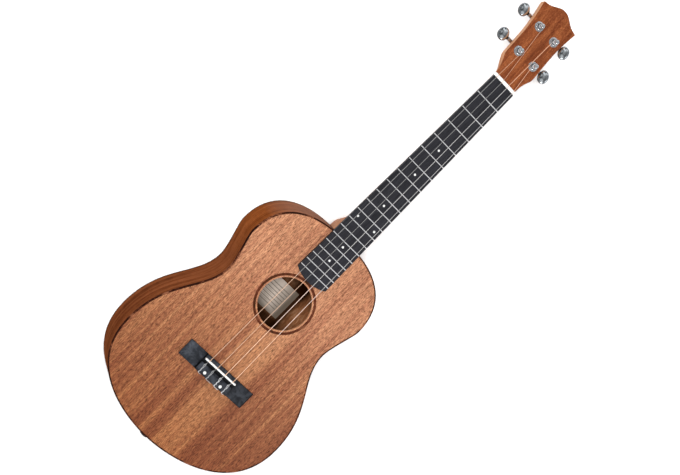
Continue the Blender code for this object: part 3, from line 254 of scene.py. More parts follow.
def top_wood(name):
    """The soundboard: broad reddish growth bands under a dense fleck of short pores, paler towards the neck."""
    m = Mat(name)
    sway = m.span(m.noise((70.0, 260.0, 70.0), 1, 0.5, shift=(4.0, 1.0, 0.0)), 0.3, 0.7, -3.5, 3.5)
    x = m.math("ADD", m.axis("X"), sway)
    along = m.axis("Y")
    # growth bands: their place across the board in mm, and how dark each one is
    bands = ((-133, 0.42), (-104, 0.50), (-92, 0.32), (-74, 0.50), (-66, 0.26), (-50, 0.38), (-43, 0.44), (-38, 0.84),
             (-29, 0.90), (-23, 0.34), (-17, 0.74), (-8, 0.82), (-2, 0.30), (8, 0.06), (17, 0.32), (24, 0.06),
             (36, 0.22), (43, 0.76), (55, 0.94), (61, 0.52), (70, 0.70), (75, 0.36), (82, 0.84), (90, 0.66),
             (93, 0.40), (101, 0.80), (120, 0.92), (133, 0.88))
    dark = m.ramp(m.span(x, -140.0, 140.0, 0.0, 1.0), [((p + 140.0) / 280.0, v) for p, v in bands])
    dark = m.math("MULTIPLY", dark, m.span(along, -90.0, 150.0, 1.05, 0.26))
    line = m.noise((1.6, 260.0, 9.0), 3, 0.62, 0.12, (3.0, 2.0, 0.0))
    stripe = m.noise((5.0, 520.0, 30.0), 2, 0.6, 0.2, (9.0, 2.0, 0.0))
    blotch = m.noise((30.0, 90.0, 30.0), 2, 0.5, 0.3, (1.0, 5.0, 0.0))
    low = m.span(along, -120.0, 90.0, 1.0, 0.72)
    fine = m.math("ADD", m.span(stripe, 0.32, 0.68, -0.26, 0.26), m.span(line, 0.3, 0.7, -0.32, 0.32))
    tone = m.math("ADD", m.math("MULTIPLY", dark, 0.86), m.math("MULTIPLY", fine, low))
    tone = m.math("ADD", tone, m.span(blotch, 0.3, 0.7, -0.05, 0.05))
    colour = m.ramp(m.span(tone, -0.15, 0.75, 0.0, 1.0), ((0.0, (0.400, 0.192, 0.098)), (0.30, (0.350, 0.160, 0.080)),
                                                          (0.62, (0.270, 0.108, 0.056)), (1.0, (0.200, 0.071, 0.038))))
    fade = m.ramp(m.span(along, -129.0, 175.0, 0.0, 1.0),
                  ((0.0, (0.74, 0.585, 0.45)), (0.33, (0.805, 0.71, 0.63)), (0.60, (0.93, 0.86, 0.83)),
                   (0.85, (1.055, 1.015, 1.10))))
    colour = m.mix(1.0, colour, fade, "MULTIPLY")
    fleck = m.noise((0.46, 4.2, 1.2), 1, 0.6, 0.0, (7.0, 3.0, 0.0))
    grain = m.ramp(m.span(fleck, 0.30, 0.70, 0.0, 1.0), ((0.0, 0.33), (0.36, 0.72), (0.52, 1.0), (1.0, 1.0)))
    colour = m.mix(1.0, colour, grain, "MULTIPLY")
    colour = m.mix(m.span(fleck, 0.50, 0.68, 0.0, 1.0), colour, m.mix(1.0, colour, (1.40, 1.50, 1.44), "MULTIPLY"))
    pores = m.span(m.noise((0.5, 9.0, 1.2), 1, 0.5, 0.0, (2.0, 8.0, 0.0)), 0.58, 0.65, 0.0, 1.0)
    colour = m.mix(m.math("MULTIPLY", pores, 0.5), colour, m.mix(1.0, colour, (0.42, 0.34, 0.28), "MULTIPLY"))
    # the raw edge of the sound hole is paler than the stained face
    down = m.span(m.axis("Z"), TOP_Z - 0.4, TOP_Z - 0.1, 1.0, 0.0)
    colour = m.mix(m.math("MULTIPLY", down, 0.8), colour, (0.42, 0.22, 0.12))
    height = m.math("SUBTRACT", m.math("MULTIPLY", fleck, 0.5), pores)
    return m.out(colour, m.span(fleck, 0.3, 0.7, 0.60, 0.46), height, 0.2, 0.00008, Specular_IOR_Level=0.12)


def back_wood(name):
    """The back: two leaves matched at the centre seam, and the raw, mottled inner face with painted light and shade
    under the sound hole.
    """
    m = Mat(name)
    source = m.mirrored()
    colour, fibre, height = grained(m, (0.26, 0.098, 0.040), (0.20, 0.068, 0.026), (0.125, 0.040, 0.015), seed=9.0,
                                    band=24.0, source=source)
    seam = m.span(m.math("ABSOLUTE", m.axis("X")), 0.15, 0.45, 0.75, 0.0)
    colour = m.mix(seam, colour, (0.05, 0.018, 0.008))
    edge = m.span(m.axis("Z"), 0.25, 0.5, 0.0, 0.9)
    colour = m.mix(edge, colour, (0.030, 0.020, 0.014))
    mottle = m.noise((7.0, 16.0, 9.0), 4, 0.62, 0.8, (1.0, 3.0, 2.0))
    fine = m.noise((0.9, 7.0, 2.0), 2, 0.7, 0.0, (5.0, 1.0, 0.0))
    raw = m.ramp(mottle, ((0.34, (0.155, 0.052, 0.020)), (0.50, (0.24, 0.092, 0.038)), (0.66, (0.35, 0.165, 0.085))))
    raw = m.mix(m.span(fine, 0.35, 0.65, 0.5, 0.0), raw, (0.055, 0.028, 0.012))
    # painted light and shade from the sound hole: a painted shaded band beside the label and a painted pool of light
    # towards the treble side
    hole_light_and_shade = m.ramp(m.span(m.axis("X"), -40.0, 60.0, 0.0, 1.0),
                  ((0.0, 0.7), (0.66, 0.5), (0.71, 0.14), (0.75, 0.16), (0.81, 0.80), (0.90, 1.20), (1.0, 2.1)))
    raw = m.mix(1.0, raw, hole_light_and_shade, "MULTIPLY")
    x, y = m.axis("X"), m.axis("Y")
    # painted shade on the inner face: near black towards the neck beyond the label's top, and below the label, where
    # the sound hole's edge shades it
    corner = m.math("MULTIPLY", m.math("MULTIPLY", m.span(x, 11.0, 22.0, 0.0, 1.0), m.span(x, 37.0, 43.0, 1.0, 0.0)),
                    m.span(y, 124.0, 131.0, 0.0, 1.0))
    corner = m.math("MAXIMUM", corner, m.math("MULTIPLY", m.span(x, -14.0, 0.0, 0.0, 0.8), m.span(y, 92.0, 84.0, 0.0, 1.0)))
    corner = m.math("MULTIPLY", corner, m.span(x, 37.0, 43.0, 1.0, 0.0))
    raw = m.mix(corner, raw, (0.014, 0.004, 0.001))
    inner = m.span(m.axis("Z"), BACK_T - 0.2, BACK_T - 0.05, 0.0, 1.0)
    colour = m.mix(inner, colour, raw)
    return m.out(colour, m.span(fibre, 0.2, 0.8, 0.42, 0.30), height, 0.2, 0.0001, Specular_IOR_Level=0.05)


def head_depth(m):
    """Distance from the headstock's face, which is tilted back from the strings."""
    y = m.math("MULTIPLY", m.math("SUBTRACT", m.axis("Y"), HEAD_Y), math.sin(TILT))
    z = m.math("MULTIPLY", m.math("SUBTRACT", m.axis("Z"), HEAD_FACE_Z), math.cos(TILT))
    return m.math("ADD", y, z)


def neck_wood(name):
    """The neck: light orange mahogany with a redder stained face on the headstock."""
    m = Mat(name)
    colour, fibre, height = grained(m, (0.52, 0.240, 0.118), (0.43, 0.182, 0.084), (0.31, 0.120, 0.052),
                                    band=13.0, seed=14.0, pore=0.35, fleck=0.2)
    face, _, _ = grained(m, (0.295, 0.093, 0.033), (0.190, 0.051, 0.019), (0.108, 0.025, 0.010), band=6.0,
                         seed=31.0, pore=0.4, pore_size=(0.8, 3.0), fleck=0.48, streak=1.5)
    depth = head_depth(m)
    flank = m.math("MULTIPLY", m.span(m.axis("Y"), HEAD_Y + 8.0, HEAD_Y + 26.0, 0.0, 1.0),
                   m.span(depth, -10.4, -9.9, 0.0, 0.75))
    colour = m.mix(flank, colour, m.mix(m.span(fibre, 0.3, 0.7, 0.3, 0.0), (0.55, 0.295, 0.17), (0.40, 0.20, 0.105)))
    near = m.span(depth, -0.75, -0.45, 0.0, 1.0)
    colour = m.mix(near, colour, face)
    return m.out(colour, m.span(fibre, 0.2, 0.8, 0.5, 0.36), height, 0.2, 0.0001, Specular_IOR_Level=0.02)


def side_wood(name):
    """The bent sides: fine figure along the bend, painted light on the upper bout, and a painted grey sheen beside the
    neck.
    """
    m = Mat(name)
    colour, fibre, height = grained(m, (0.230, 0.070, 0.0255), (0.162, 0.0455, 0.0152), (0.092, 0.024, 0.0077), grain="z",
                                    band=10.0, seed=5.0, fleck=0.16, pore=0.35, streak=1.45)
    y = m.axis("Y")
    # painted light: the side of the upper bout is painted lighter and redder, where more light falls
    colour = m.mix(m.span(y, 112.0, 165.0, 0.0, 1.0), colour, m.mix(1.0, colour, (1.25, 1.18, 0.85), "MULTIPLY"))
    # painted sheen: beside the neck the side is painted greyer and lighter
    near = m.span(y, 182.0, 232.0, 0.0, 1.0)
    colour = m.mix(near, colour, m.mix(0.5, m.mix(1.0, colour, (1.05, 1.25, 2.0), "MULTIPLY"), (0.25, 0.165, 0.135)))
    foot = m.span(m.axis("Z"), BACK_T + 1.1, BACK_T + 2.1, 0.88, 0.0)
    colour = m.mix(foot, colour, (0.034, 0.022, 0.014))
    return m.out(colour, m.span(fibre, 0.2, 0.8, 0.36, 0.26), height, 0.2, 0.0001, Specular_IOR_Level=0.0)


def tortoise(name, stops):
    m = Mat(name)
    a = m.noise((22.0, 22.0, 12.0), 3, 0.6, 1.2)
    b = m.noise((2.6, 2.6, 2.6), 2, 0.6, 0.6)
    colour = m.ramp(m.math("ADD", m.math("MULTIPLY", a, 0.72), m.math("MULTIPLY", b, 0.28)), stops)
    return m.out(colour, m.span(b, 0.3, 0.7, 0.20, 0.32), b, 0.05, 0.0001, Specular_IOR_Level=0.0)


def dark_wood(name, base, lift, rough=(0.45, 0.62), grain="y", spec=0.12, well=False):
    m = Mat(name)
    size = (lambda a, b: (a, b, a)) if grain == "y" else (lambda a, b: (b, a, a))
    g = m.noise(size(0.9, 40.0), 4, 0.65, 0.2)
    h = m.noise(size(9.0, 120.0), 2, 0.5)
    t = m.noise(size(0.7, 5.5), 1, 0.5)
    colour = m.mix(m.span(g, 0.3, 0.7, 0.0, 1.0), base, lift)
    colour = m.mix(m.span(h, 0.35, 0.7, 0.0, 0.35), colour, scaled(base, 0.6))
    ticks = m.span(t, 0.60, 0.70, 0.0, 1.0)
    colour = m.mix(m.math("MULTIPLY", ticks, 0.6), colour, scaled(base, 0.3))
    if well:
        cloud = m.noise((11.0, 11.0, 11.0), 3, 0.65, 0.5, (4.0, 1.0, 0.0))
        colour = m.mix(m.span(cloud, 0.45, 0.68, 0.0, 0.75), colour, scaled(lift, 1.5))
        colour = m.mix(m.span(cloud, 0.52, 0.34, 0.0, 0.8), colour, scaled(base, 0.5))
        # painted light: the bridge is painted lighter at its bass end, where the light falls, and darker towards the
        # treble end
        light = m.ramp(m.span(m.axis("X"), -56.0, 56.0, 0.0, 1.0), ((0.0, 1.0), (0.30, 0.85), (0.70, 0.67), (1.0, 0.55)))
        colour = m.mix(1.0, m.mix(1.0, colour, (1.54, 1.52, 1.52), "MULTIPLY"), light, "MULTIPLY")
        # painted shade on the bevel of the treble end
        treble_end_shade = m.span(m.axis("X"), 53.2, 54.2, 0.0, 0.85)
        colour = m.mix(treble_end_shade, colour, (0.010, 0.003, 0.002))
        # painted shade: the cut channel and the steps beside it are painted near black
        y = m.axis("Y")
        channel_shade = m.math("MULTIPLY", m.span(y, -8.4, -8.0, 0.0, 1.0), m.span(y, -4.3, -3.9, 1.0, 0.0))
        x = m.math("ABSOLUTE", m.axis("X"))
        channel_shade = m.math("MULTIPLY", channel_shade, m.span(x, 28.2, 28.6, 1.0, 0.0))
        wing_step_shade = m.math("MULTIPLY", m.span(x, 26.9, 27.3, 0.0, 1.0), m.span(x, 28.1, 28.5, 1.0, 0.0))
        colour = m.mix(m.math("MAXIMUM", channel_shade, wing_step_shade), colour, (0.004, 0.004, 0.005))
    return m.out(colour, m.span(g, 0.3, 0.7, rough[1], rough[0]), m.math("SUBTRACT", g, ticks), 0.2, 0.0001,
                 Specular_IOR_Level=spec)


def metal(name, colour=(0.62, 0.63, 0.65), rough=(0.05, 0.13), brushed=None, rim=0.32, dark_reflection=None, metallic=1.0):
    m = Mat(name)
    a = m.noise((2.4, 2.4, 2.4), 3, 0.6)
    b = m.noise(brushed or (0.5, 0.5, 0.5), 2, 0.6)
    c = m.mix(m.span(a, 0.3, 0.7, 0.0, 0.25), colour, scaled(colour, 0.8))
    if dark_reflection:                                   # painted dark reflection at the stem and along the rim of a button
        stem = m.span(m.math("ABSOLUTE", m.axis("X")), dark_reflection[0], dark_reflection[1], 0.95, 0.0)
        level = m.math("ABSOLUTE", m.math("SUBTRACT", head_depth(m), WORM_W))
        c = m.mix(m.math("MAXIMUM", stem, m.span(level, dark_reflection[2], dark_reflection[3], 0.92, 0.0)), c, (0.02, 0.02, 0.022))
    return m.out(c, m.span(b, 0.25, 0.75, rough[0], rough[1]), b, 0.04, 0.00004, Metallic=metallic,
                 Specular_Tint=(rim, rim, rim * 1.06, 1.0))


def plastic(name, colour, shade, rough=(0.28, 0.4), grain=2.0, **fixed):
    m = Mat(name)
    a = m.noise((grain * 4, grain * 4, grain * 4), 3, 0.55)
    b = m.noise((grain * 0.15, grain * 0.15, grain * 0.15), 2, 0.6)
    c = m.mix(m.span(a, 0.3, 0.7, 0.0, 1.0), colour, shade)
    return m.out(c, m.span(b, 0.3, 0.7, rough[0], rough[1]), b, 0.06, 0.00005, **fixed)


def over_board(m):
    """How far a point of a string is above the dark board, where its colour is painted grey instead of the painted
    warm light from the top.
    """
    y = m.axis("Y")
    neck = m.math("MULTIPLY", m.span(y, 152.0, 160.0, 0.0, 1.0), m.span(y, 506.0, 512.0, 1.0, 0.0))
    return m.math("MAXIMUM", neck, m.span(y, -3.0, -1.5, 1.0, 0.0))


def past_nut(m):
    """Between the nut and the bushings, where a string is painted with the warm reflection of the headstock; where it
    reaches its post it looks grey again.
    """
    dx = m.math("SUBTRACT", m.math("ABSOLUTE", m.axis("X")), POST_X)
    near = None
    for v in POST_V:
        dy = m.math("SUBTRACT", m.axis("Y"), HEAD_Y + v * math.cos(TILT))
        d = m.math("ADD", m.math("MULTIPLY", dx, dx), m.math("MULTIPLY", dy, dy))
        one = m.span(d, 40.0, 46.0, 0.0, 1.0)
        near = one if near is None else m.math("MINIMUM", near, one)
    return m.math("MULTIPLY", m.span(m.axis("Y"), 512.5, 513.5, 0.0, 1.0), near)


def on_head(m):
    return m.span(m.axis("Y"), 512.5, 513.5, 0.0, 1.0)


def wound(name, coil=False):
    m = Mat(name)
    w = m.new("ShaderNodeTexWave", wave_type="BANDS", bands_direction="Y")
    w.inputs["Scale"].default_value = 1.0
    m.link(m.stretch((3.2, 1.6, 3.2)), w.inputs["Vector"])
    if coil:
        c = m.ramp(w.outputs["Fac"], ((0.1, (0.40, 0.40, 0.41)), (0.7, (0.52, 0.52, 0.53))))
    else:
        # painted light: over the top the string is painted warm, as lit by the wood beneath it; over the board, on the
        # headstock and past the nut its colour is painted to match what shows beneath it
        c = m.ramp(w.outputs["Fac"], ((0.1, (0.52, 0.33, 0.22)), (0.7, (0.86, 0.56, 0.39))))
        c = m.mix(over_board(m), c, (0.27, 0.265, 0.26))
        c = m.mix(on_head(m), c, (0.33, 0.32, 0.31))
        c = m.mix(past_nut(m), c, (0.60, 0.31, 0.19))
    return m.out(c, 0.4, w.outputs["Fac"], 0.3, 0.00006, Metallic=0.3)


def nylon(name, coil=False):
    m = Mat(name)
    a = m.noise((0.8, 9.0, 0.8), 2, 0.5)
    if coil:
        c = m.mix(m.span(a, 0.3, 0.7, 0.0, 1.0), (0.60, 0.60, 0.61), (0.49, 0.49, 0.50))
    else:
        # painted light: over the top the string is painted warm, as lit by the wood beneath it, and greyer over the
        # sound hole; over the board, on the headstock and past the nut its colour is painted to match what shows
        # beneath it
        c = m.mix(m.span(a, 0.3, 0.7, 0.0, 1.0), (0.88, 0.56, 0.38), (0.74, 0.46, 0.31))
        c = m.mix(m.span(m.axis("Y"), 78.0, 86.0, 0.0, 0.6), c, (0.68, 0.58, 0.57))
        c = m.mix(over_board(m), c, (0.40, 0.39, 0.385))
        c = m.mix(on_head(m), c, (0.36, 0.35, 0.345))
        c = m.mix(past_nut(m), c, (0.64, 0.34, 0.21))
    return m.out(c, m.span(a, 0.3, 0.7, 0.22, 0.36), a, 0.05, 0.00005, Specular_IOR_Level=0.3)


def paper(name):
    """A plain cream label with thin ruled lines, a darker strip along its right edge, and painted shade towards its
    right side and lower end.
    """
    m = Mat(name)
    fibre = m.noise((0.6, 0.6, 0.6), 3, 0.6)
    stain = m.noise((16.0, 16.0, 16.0), 2, 0.5, 0.4)
    colour = m.mix(m.span(stain, 0.35, 0.7, 0.0, 1.0), (0.66, 0.56, 0.48), (0.56, 0.475, 0.40))
    colour = m.mix(m.span(fibre, 0.3, 0.7, 0.18, 0.0), colour, (0.30, 0.24, 0.19))
    y, x = m.axis("Y"), m.axis("X")
    inside = m.math("MULTIPLY", m.span(x, -29.2, -29.0, 0.0, 1.0), m.span(x, 19.8, 20.0, 1.0, 0.0))
    lines = None
    for at_y in (124.0, 119.4, 114.8, 110.2, 105.6, 101.0, 96.4):
        d = m.math("ABSOLUTE", m.math("SUBTRACT", y, at_y))
        one = m.span(d, 0.42, 0.62, 1.0, 0.0)
        lines = one if lines is None else m.math("MAXIMUM", lines, one)
    for at_y in (112.5, 107.9, 103.3, 98.7):
        d = m.math("ABSOLUTE", m.math("SUBTRACT", y, at_y))
        lines = m.math("MAXIMUM", lines, m.math("MULTIPLY", m.span(d, 0.2, 0.4, 0.6, 0.0), m.span(x, 2.0, 2.2, 1.0, 0.0)))
    colour = m.mix(m.math("MULTIPLY", m.math("MULTIPLY", lines, inside), 0.8), colour, (0.12, 0.10, 0.08))
    # painted shade: the label darkens towards its right side and its lower end, where the sound hole's edge shades it
    label_shade = m.math("MAXIMUM", m.span(x, 2.0, 26.0, 0.0, 0.88), m.span(y, 103.0, 89.0, 0.0, 0.75))
    colour = m.mix(label_shade, colour, (0.10, 0.080, 0.062))
    margin = m.span(x, 23.0, 24.0, 0.0, 0.5)
    colour = m.mix(margin, colour, (0.11, 0.080, 0.055))
    return m.out(colour, m.span(fibre, 0.3, 0.7, 0.7, 0.85), fibre, 0.1, 0.00005, Specular_IOR_Level=0.2)


M = {
    "top": top_wood("mahogany_top"),
    "sides": side_wood("mahogany_sides"),
    "back": back_wood("mahogany_back"),
    "neck": neck_wood("mahogany_neck"),
    "inside": wood("raw_block", (0.40, 0.25, 0.13), (0.31, 0.18, 0.09), (0.21, 0.115, 0.055), band=12.0, seed=21.0,
                   rough=(0.6, 0.75)),
    "lining": wood("lining_wood", (0.30, 0.185, 0.095), (0.23, 0.135, 0.066), (0.16, 0.09, 0.042), band=8.0,
                   seed=41.0, rough=(0.6, 0.75), grain="z"),
    "brace": wood("spruce", (0.56, 0.42, 0.25), (0.48, 0.33, 0.18), (0.37, 0.24, 0.13), grain="x", band=5.0,
                  pore=0.1, seed=30.0, rough=(0.6, 0.75)),
    "tortoise": tortoise("tortoise_trim", ((0.40, (0.016, 0.006, 0.004)), (0.49, (0.024, 0.007, 0.004)),
                                           (0.55, (0.060, 0.018, 0.009)), (0.62, (0.19, 0.070, 0.035)))),
    "ring": tortoise("tortoise_ring", ((0.38, (0.026, 0.015, 0.007)), (0.48, (0.062, 0.018, 0.009)),
                                       (0.56, (0.090, 0.025, 0.013)), (0.68, (0.15, 0.060, 0.030)))),
    "bridge": dark_wood("dark_bridge_wood", (0.012, 0.0135, 0.017), (0.027, 0.030, 0.036), grain="x", well=True),
    "board": dark_wood("dark_board_wood", (0.010, 0.010, 0.012), (0.031, 0.031, 0.037)),
    "white": plastic("white_bone", (0.80, 0.795, 0.78), (0.74, 0.73, 0.705), Specular_IOR_Level=0.4),
    "black": plastic("black_plastic", (0.012, 0.012, 0.013), (0.022, 0.022, 0.023), rough=(0.2, 0.34)),
    "fret": metal("fret_wire", (0.68, 0.68, 0.69), (0.40, 0.52), brushed=(6.0, 0.3, 0.3), metallic=0.5),
    "chrome": metal("polished_chrome", (0.72, 0.75, 0.78), (0.16, 0.27), metallic=0.87),
    "knob": metal("button_chrome", (0.74, 0.79, 0.83), (0.10, 0.17), rim=0.5, dark_reflection=(33.0, 35.0, 0.7, 2.3)),
    "cast": metal("cast_chrome", (0.54, 0.54, 0.56), (0.12, 0.24)),
    "wound": wound("wound_string"),
    "nylon": nylon("clear_string"),
    "wound_coil": wound("wound_string_coiled", coil=True),
    "nylon_coil": nylon("clear_string_coiled", coil=True),
    "dot": plastic("inlay_dot", (0.66, 0.66, 0.65), (0.58, 0.58, 0.57), rough=(0.25, 0.4), grain=0.8),
    "paper": paper("label_paper"),
}


def paint(node, mat):
    me = NODES[node].data
    me.materials.clear()
    me.materials.append(mat)


for node, key in (("soundboard", "top"), ("back_plate", "back"), ("rib_bass", "sides"), ("rib_treble", "sides"),
                  ("neck_block", "inside"), ("tail_block", "inside"), ("bridge_patch", "inside"),
                  ("brace_top_upper", "brace"), ("brace_top_lower", "brace"), ("fan_brace_bass", "brace"),
                  ("fan_brace_treble", "brace"), ("brace_back_upper", "brace"), ("brace_back_lower", "brace"),
                  ("binding", "tortoise"), ("rosette", "ring"), ("bridge", "bridge"), ("saddle", "white"),
                  ("strap_button", "black"), ("neck", "neck"), ("fretboard", "board"), ("nut", "white")):
    paint(node, M[key])
for n in range(1, 20):
    paint("fret_%02d" % n, M["fret"])
for name, _, w in STRINGS:
    paint(name, M["wound"] if w else M["nylon"])
for tag, _, _ in TAGS:
    paint("housing_" + tag, M["cast"])
    for part in ("post_", "worm_shaft_", "bushing_"):
        paint(part + tag, M["knob" if part == "worm_shaft_" else "chrome"])


# ---------------------------------------------------------------- mesh helpers, in mm
def fill_mesh(shape, name):
    me = bpy.data.meshes.new(name)
    bm = bmesh.new()
    vs = [bm.verts.new(v) for v in shape[0]]
    for f in shape[1]:
        bm.faces.new([vs[i] for i in f])
    bmesh.ops.recalc_face_normals(bm, faces=bm.faces)
    bm.to_mesh(me)
    bm.free()
    return me


def from_saddle(v):
    return P(*v)


def from_head(v):
    return P(*head(*v))


def piece(name, shape, mat, place=from_saddle, body="root", replaces=(), smooth=35):
    """A piece of the visual model, from a shape in mm."""
    me = fill_mesh(([place(v) for v in shape[0]], shape[1]), name)
    ob = bpy.data.objects.new(name, me)
    bpy.context.scene.collection.objects.link(ob)
    me.materials.append(mat)
    me.shade_smooth()
    me.set_sharp_from_angle(angle=math.radians(smooth))
    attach(ob, body)
    if replaces:
        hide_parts(*replaces)
    return ob


def combine(shape, *steps, bevel=None, angle=30):
    """Joins and cuts closed shapes in mm, rounds the sharp edges, and gives the shape that results."""
    made = []

    def solid(s):
        ob = bpy.data.objects.new("solid", fill_mesh(s, "solid"))
        bpy.context.scene.collection.objects.link(ob)
        made.append(ob)
        return ob

    base = solid(shape)
    for operation, tool in steps:
        mod = base.modifiers.new("Boolean", "BOOLEAN")
        mod.operation, mod.solver, mod.object = operation, "EXACT", solid(tool)
    if bevel:
        mod = base.modifiers.new("Bevel", "BEVEL")
        mod.width, mod.segments, mod.limit_method, mod.angle_limit = bevel, 2, "ANGLE", math.radians(angle)
    graph = bpy.context.evaluated_depsgraph_get()
    ready = base.evaluated_get(graph)
    me = ready.to_mesh()
    result = [tuple(v.co) for v in me.vertices], [tuple(p.vertices) for p in me.polygons]
    ready.to_mesh_clear()
    for ob in made:
        me = ob.data
        bpy.data.objects.remove(ob, do_unlink=True)
        bpy.data.meshes.remove(me)
    return result


def skin(loops, caps=(True, True), closed=False):
    """Faces between loops of points, one after the other; a loop of one point closes to a tip."""
    verts, faces, start = [], [], []
    for loop in loops:
        start.append(len(verts))
        verts += loop
    pairs = list(zip(range(len(loops) - 1), range(1, len(loops))))
    if closed:
        pairs.append((len(loops) - 1, 0))
    for a, b in pairs:
        na, nb = len(loops[a]), len(loops[b])
        for i in range(max(na, nb)):
            j = (i + 1) % max(na, nb)
            if na == 1:
                faces.append([start[a], start[b] + j, start[b] + i])
            elif nb == 1:
                faces.append([start[a] + i, start[a] + j, start[b]])
            else:
                faces.append([start[a] + i, start[a] + j, start[b] + j, start[b] + i])
    if not closed:
        if caps[0] and len(loops[0]) > 1:
            faces.append(list(range(len(loops[0])))[::-1])
        if caps[1] and len(loops[-1]) > 1:
            faces.append(list(range(start[-1], start[-1] + len(loops[-1]))))
    return verts, faces


def ring(r, z, sides=48, cx=0.0, cy=0.0):
    if r == 0:
        return [(cx, cy, z)]
    return [(cx + r * math.cos(2 * math.pi * i / sides), cy + r * math.sin(2 * math.pi * i / sides), z)
            for i in range(sides)]


def lathe(profile, sides=48, cx=0.0, cy=0.0, closed=False):
    """A turned shape about Z from (radius, height) points."""
    return skin([ring(r, z, sides, cx, cy) for r, z in profile], closed=closed)


def moved(shape, dx=0.0, dy=0.0, dz=0.0):
    return [(x + dx, y + dy, z + dz) for x, y, z in shape[0]], shape[1]


def lying(shape, side=1):
    """Turns a shape about Z into one about X, its height pointing to the given side."""
    return [(side * z, y, side * x) for x, y, z in shape[0]], shape[1]


def together(*shapes):
    verts, faces = [], []
    for v, f in shapes:
        k = len(verts)
        verts += v
        faces += [[i + k for i in face] for face in f]
    return verts, faces


def along_x(profile, x0, x1, round_ends=0.0):
    """A bar with a (y, z) profile; its ends may be drawn in a little."""
    if not round_ends:
        return skin([[(x, y, z) for y, z in profile] for x in (x0, x1)])
    cy = sum(y for y, _ in profile) / len(profile)
    cz = sum(z for _, z in profile) / len(profile)
    loops = []
    e = round_ends
    for x, k in ((x0, 2), (x0 + 0.3 * e, 1), (x0 + e, 0), (x1 - e, 0), (x1 - 0.3 * e, 1), (x1, 2)):
        d = (0.0, 0.3 * e, e)[k]
        loop = []
        for y, z in profile:
            r = math.hypot(y - cy, z - cz)
            s = max(0.0, r - d) / r
            loop.append((x, cy + (y - cy) * s, cz + (z - cz) * s))
        loops.append(loop)
    return skin(loops)


def slab(x0, x1, y0, y1, z0, z1):
    return skin([[(x0, y0, z), (x1, y0, z), (x1, y1, z), (x0, y1, z)] for z in (z0, z1)])


def smooth_line(points, steps=6):
    """A curve through the given points."""
    pts = [Vector(p) for p in points]
    out = []
    for i in range(len(pts) - 1):
        a, b, c, d = pts[max(i - 1, 0)], pts[i], pts[i + 1], pts[min(i + 2, len(pts) - 1)]
        for k in range(steps):
            t = k / steps
            out.append(0.5 * (2 * b + (c - a) * t + (2 * a - 5 * b + 4 * c - d) * t * t + (3 * b - a - 3 * c + d) * t ** 3))
    out.append(pts[-1])
    return out


def tube(points, radius, sides=12, round_tip=True):
    pts = [Vector(p) for p in points]
    loops, up = [], None
    for i, p in enumerate(pts):
        d = (pts[min(i + 1, len(pts) - 1)] - pts[max(i - 1, 0)]).normalized()
        if up is None:
            up = d.orthogonal().normalized()
        up = (up - d * up.dot(d)).normalized()
        side = d.cross(up)
        loops.append((p, d, up, side))

    def loop(p, up, side, r):
        return [tuple(p + (up * math.cos(2 * math.pi * k / sides) + side * math.sin(2 * math.pi * k / sides)) * r)
                for k in range(sides)]

    out = []
    p, d, up, side = loops[0]
    if round_tip:
        out += [loop(p - d * radius * 0.45, up, side, radius * 0.55)]
    out += [loop(p, up, side, radius) for p, d, up, side in loops]
    p, d, up, side = loops[-1]
    if round_tip:
        out += [loop(p + d * radius * 0.45, up, side, radius * 0.55)]
    return skin(out)


# ---------------------------------------------------------------- body
def outline(inset=0.0, steps=34):
    """Treble half of the body's outline, from tail to neck, moved inward."""
    pts = []
    for k, c in enumerate(OUTLINE):
        for i in range(steps + (1 if k == 3 else 0)):
            t = i / steps
            if k == 0:
                t = t ** 1.15
            if k == 3:
                t = 1.0 - (1.0 - t) ** 1.15
            s = 1.0 - t
            x, y = (s ** 3 * c[0][q] + 3 * s * s * t * c[1][q] + 3 * s * t * t * c[2][q] + t ** 3 * c[3][q] for q in (0, 1))
            dx, dy = (3 * (s * s * (c[1][q] - c[0][q]) + 2 * s * t * (c[2][q] - c[1][q]) + t * t * (c[3][q] - c[2][q]))
                      for q in (0, 1))
            d = math.hypot(dx, dy)
            pts.append((x - inset * dy / d, y + inset * dx / d))
    pts[0], pts[-1] = (0.0, pts[0][1]), (0.0, pts[-1][1])
    return pts


def around(inset, z):
    half = outline(inset)
    return [(x, y, z) for x, y in half] + [(-x, y, z) for x, y in half[-2:0:-1]]


def holed_plate(outer, inner):
    """A plate between an outer wall and a stepped hole; each is a list of loops, from the lower face to the upper."""
    bm = bmesh.new()
    rows = [[[bm.verts.new(p) for p in loop] for loop in wall] for wall in (outer, inner)]
    for wall in rows:
        for a, b in zip(wall, wall[1:]):
            n = len(a)
            for i in range(n):
                j = (i + 1) % n
                bm.faces.new([a[i], a[j], b[j], b[i]])
    for k in (0, -1):
        edges = []
        for wall in rows:
            loop = wall[k]
            for i in range(len(loop)):
                pair = (loop[i], loop[(i + 1) % len(loop)])
                edges.append(bm.edges.get(pair) or bm.edges.new(pair))
        bmesh.ops.triangle_fill(bm, use_beauty=True, use_dissolve=False, edges=edges)
    bm.verts.index_update()
    shape = [tuple(v.co) for v in bm.verts], [[v.index for v in f.verts] for f in bm.faces]
    bm.free()
    return shape


def at_hole(r, z):
    return ring(r, z, 96, 0.0, HOLE_Y)


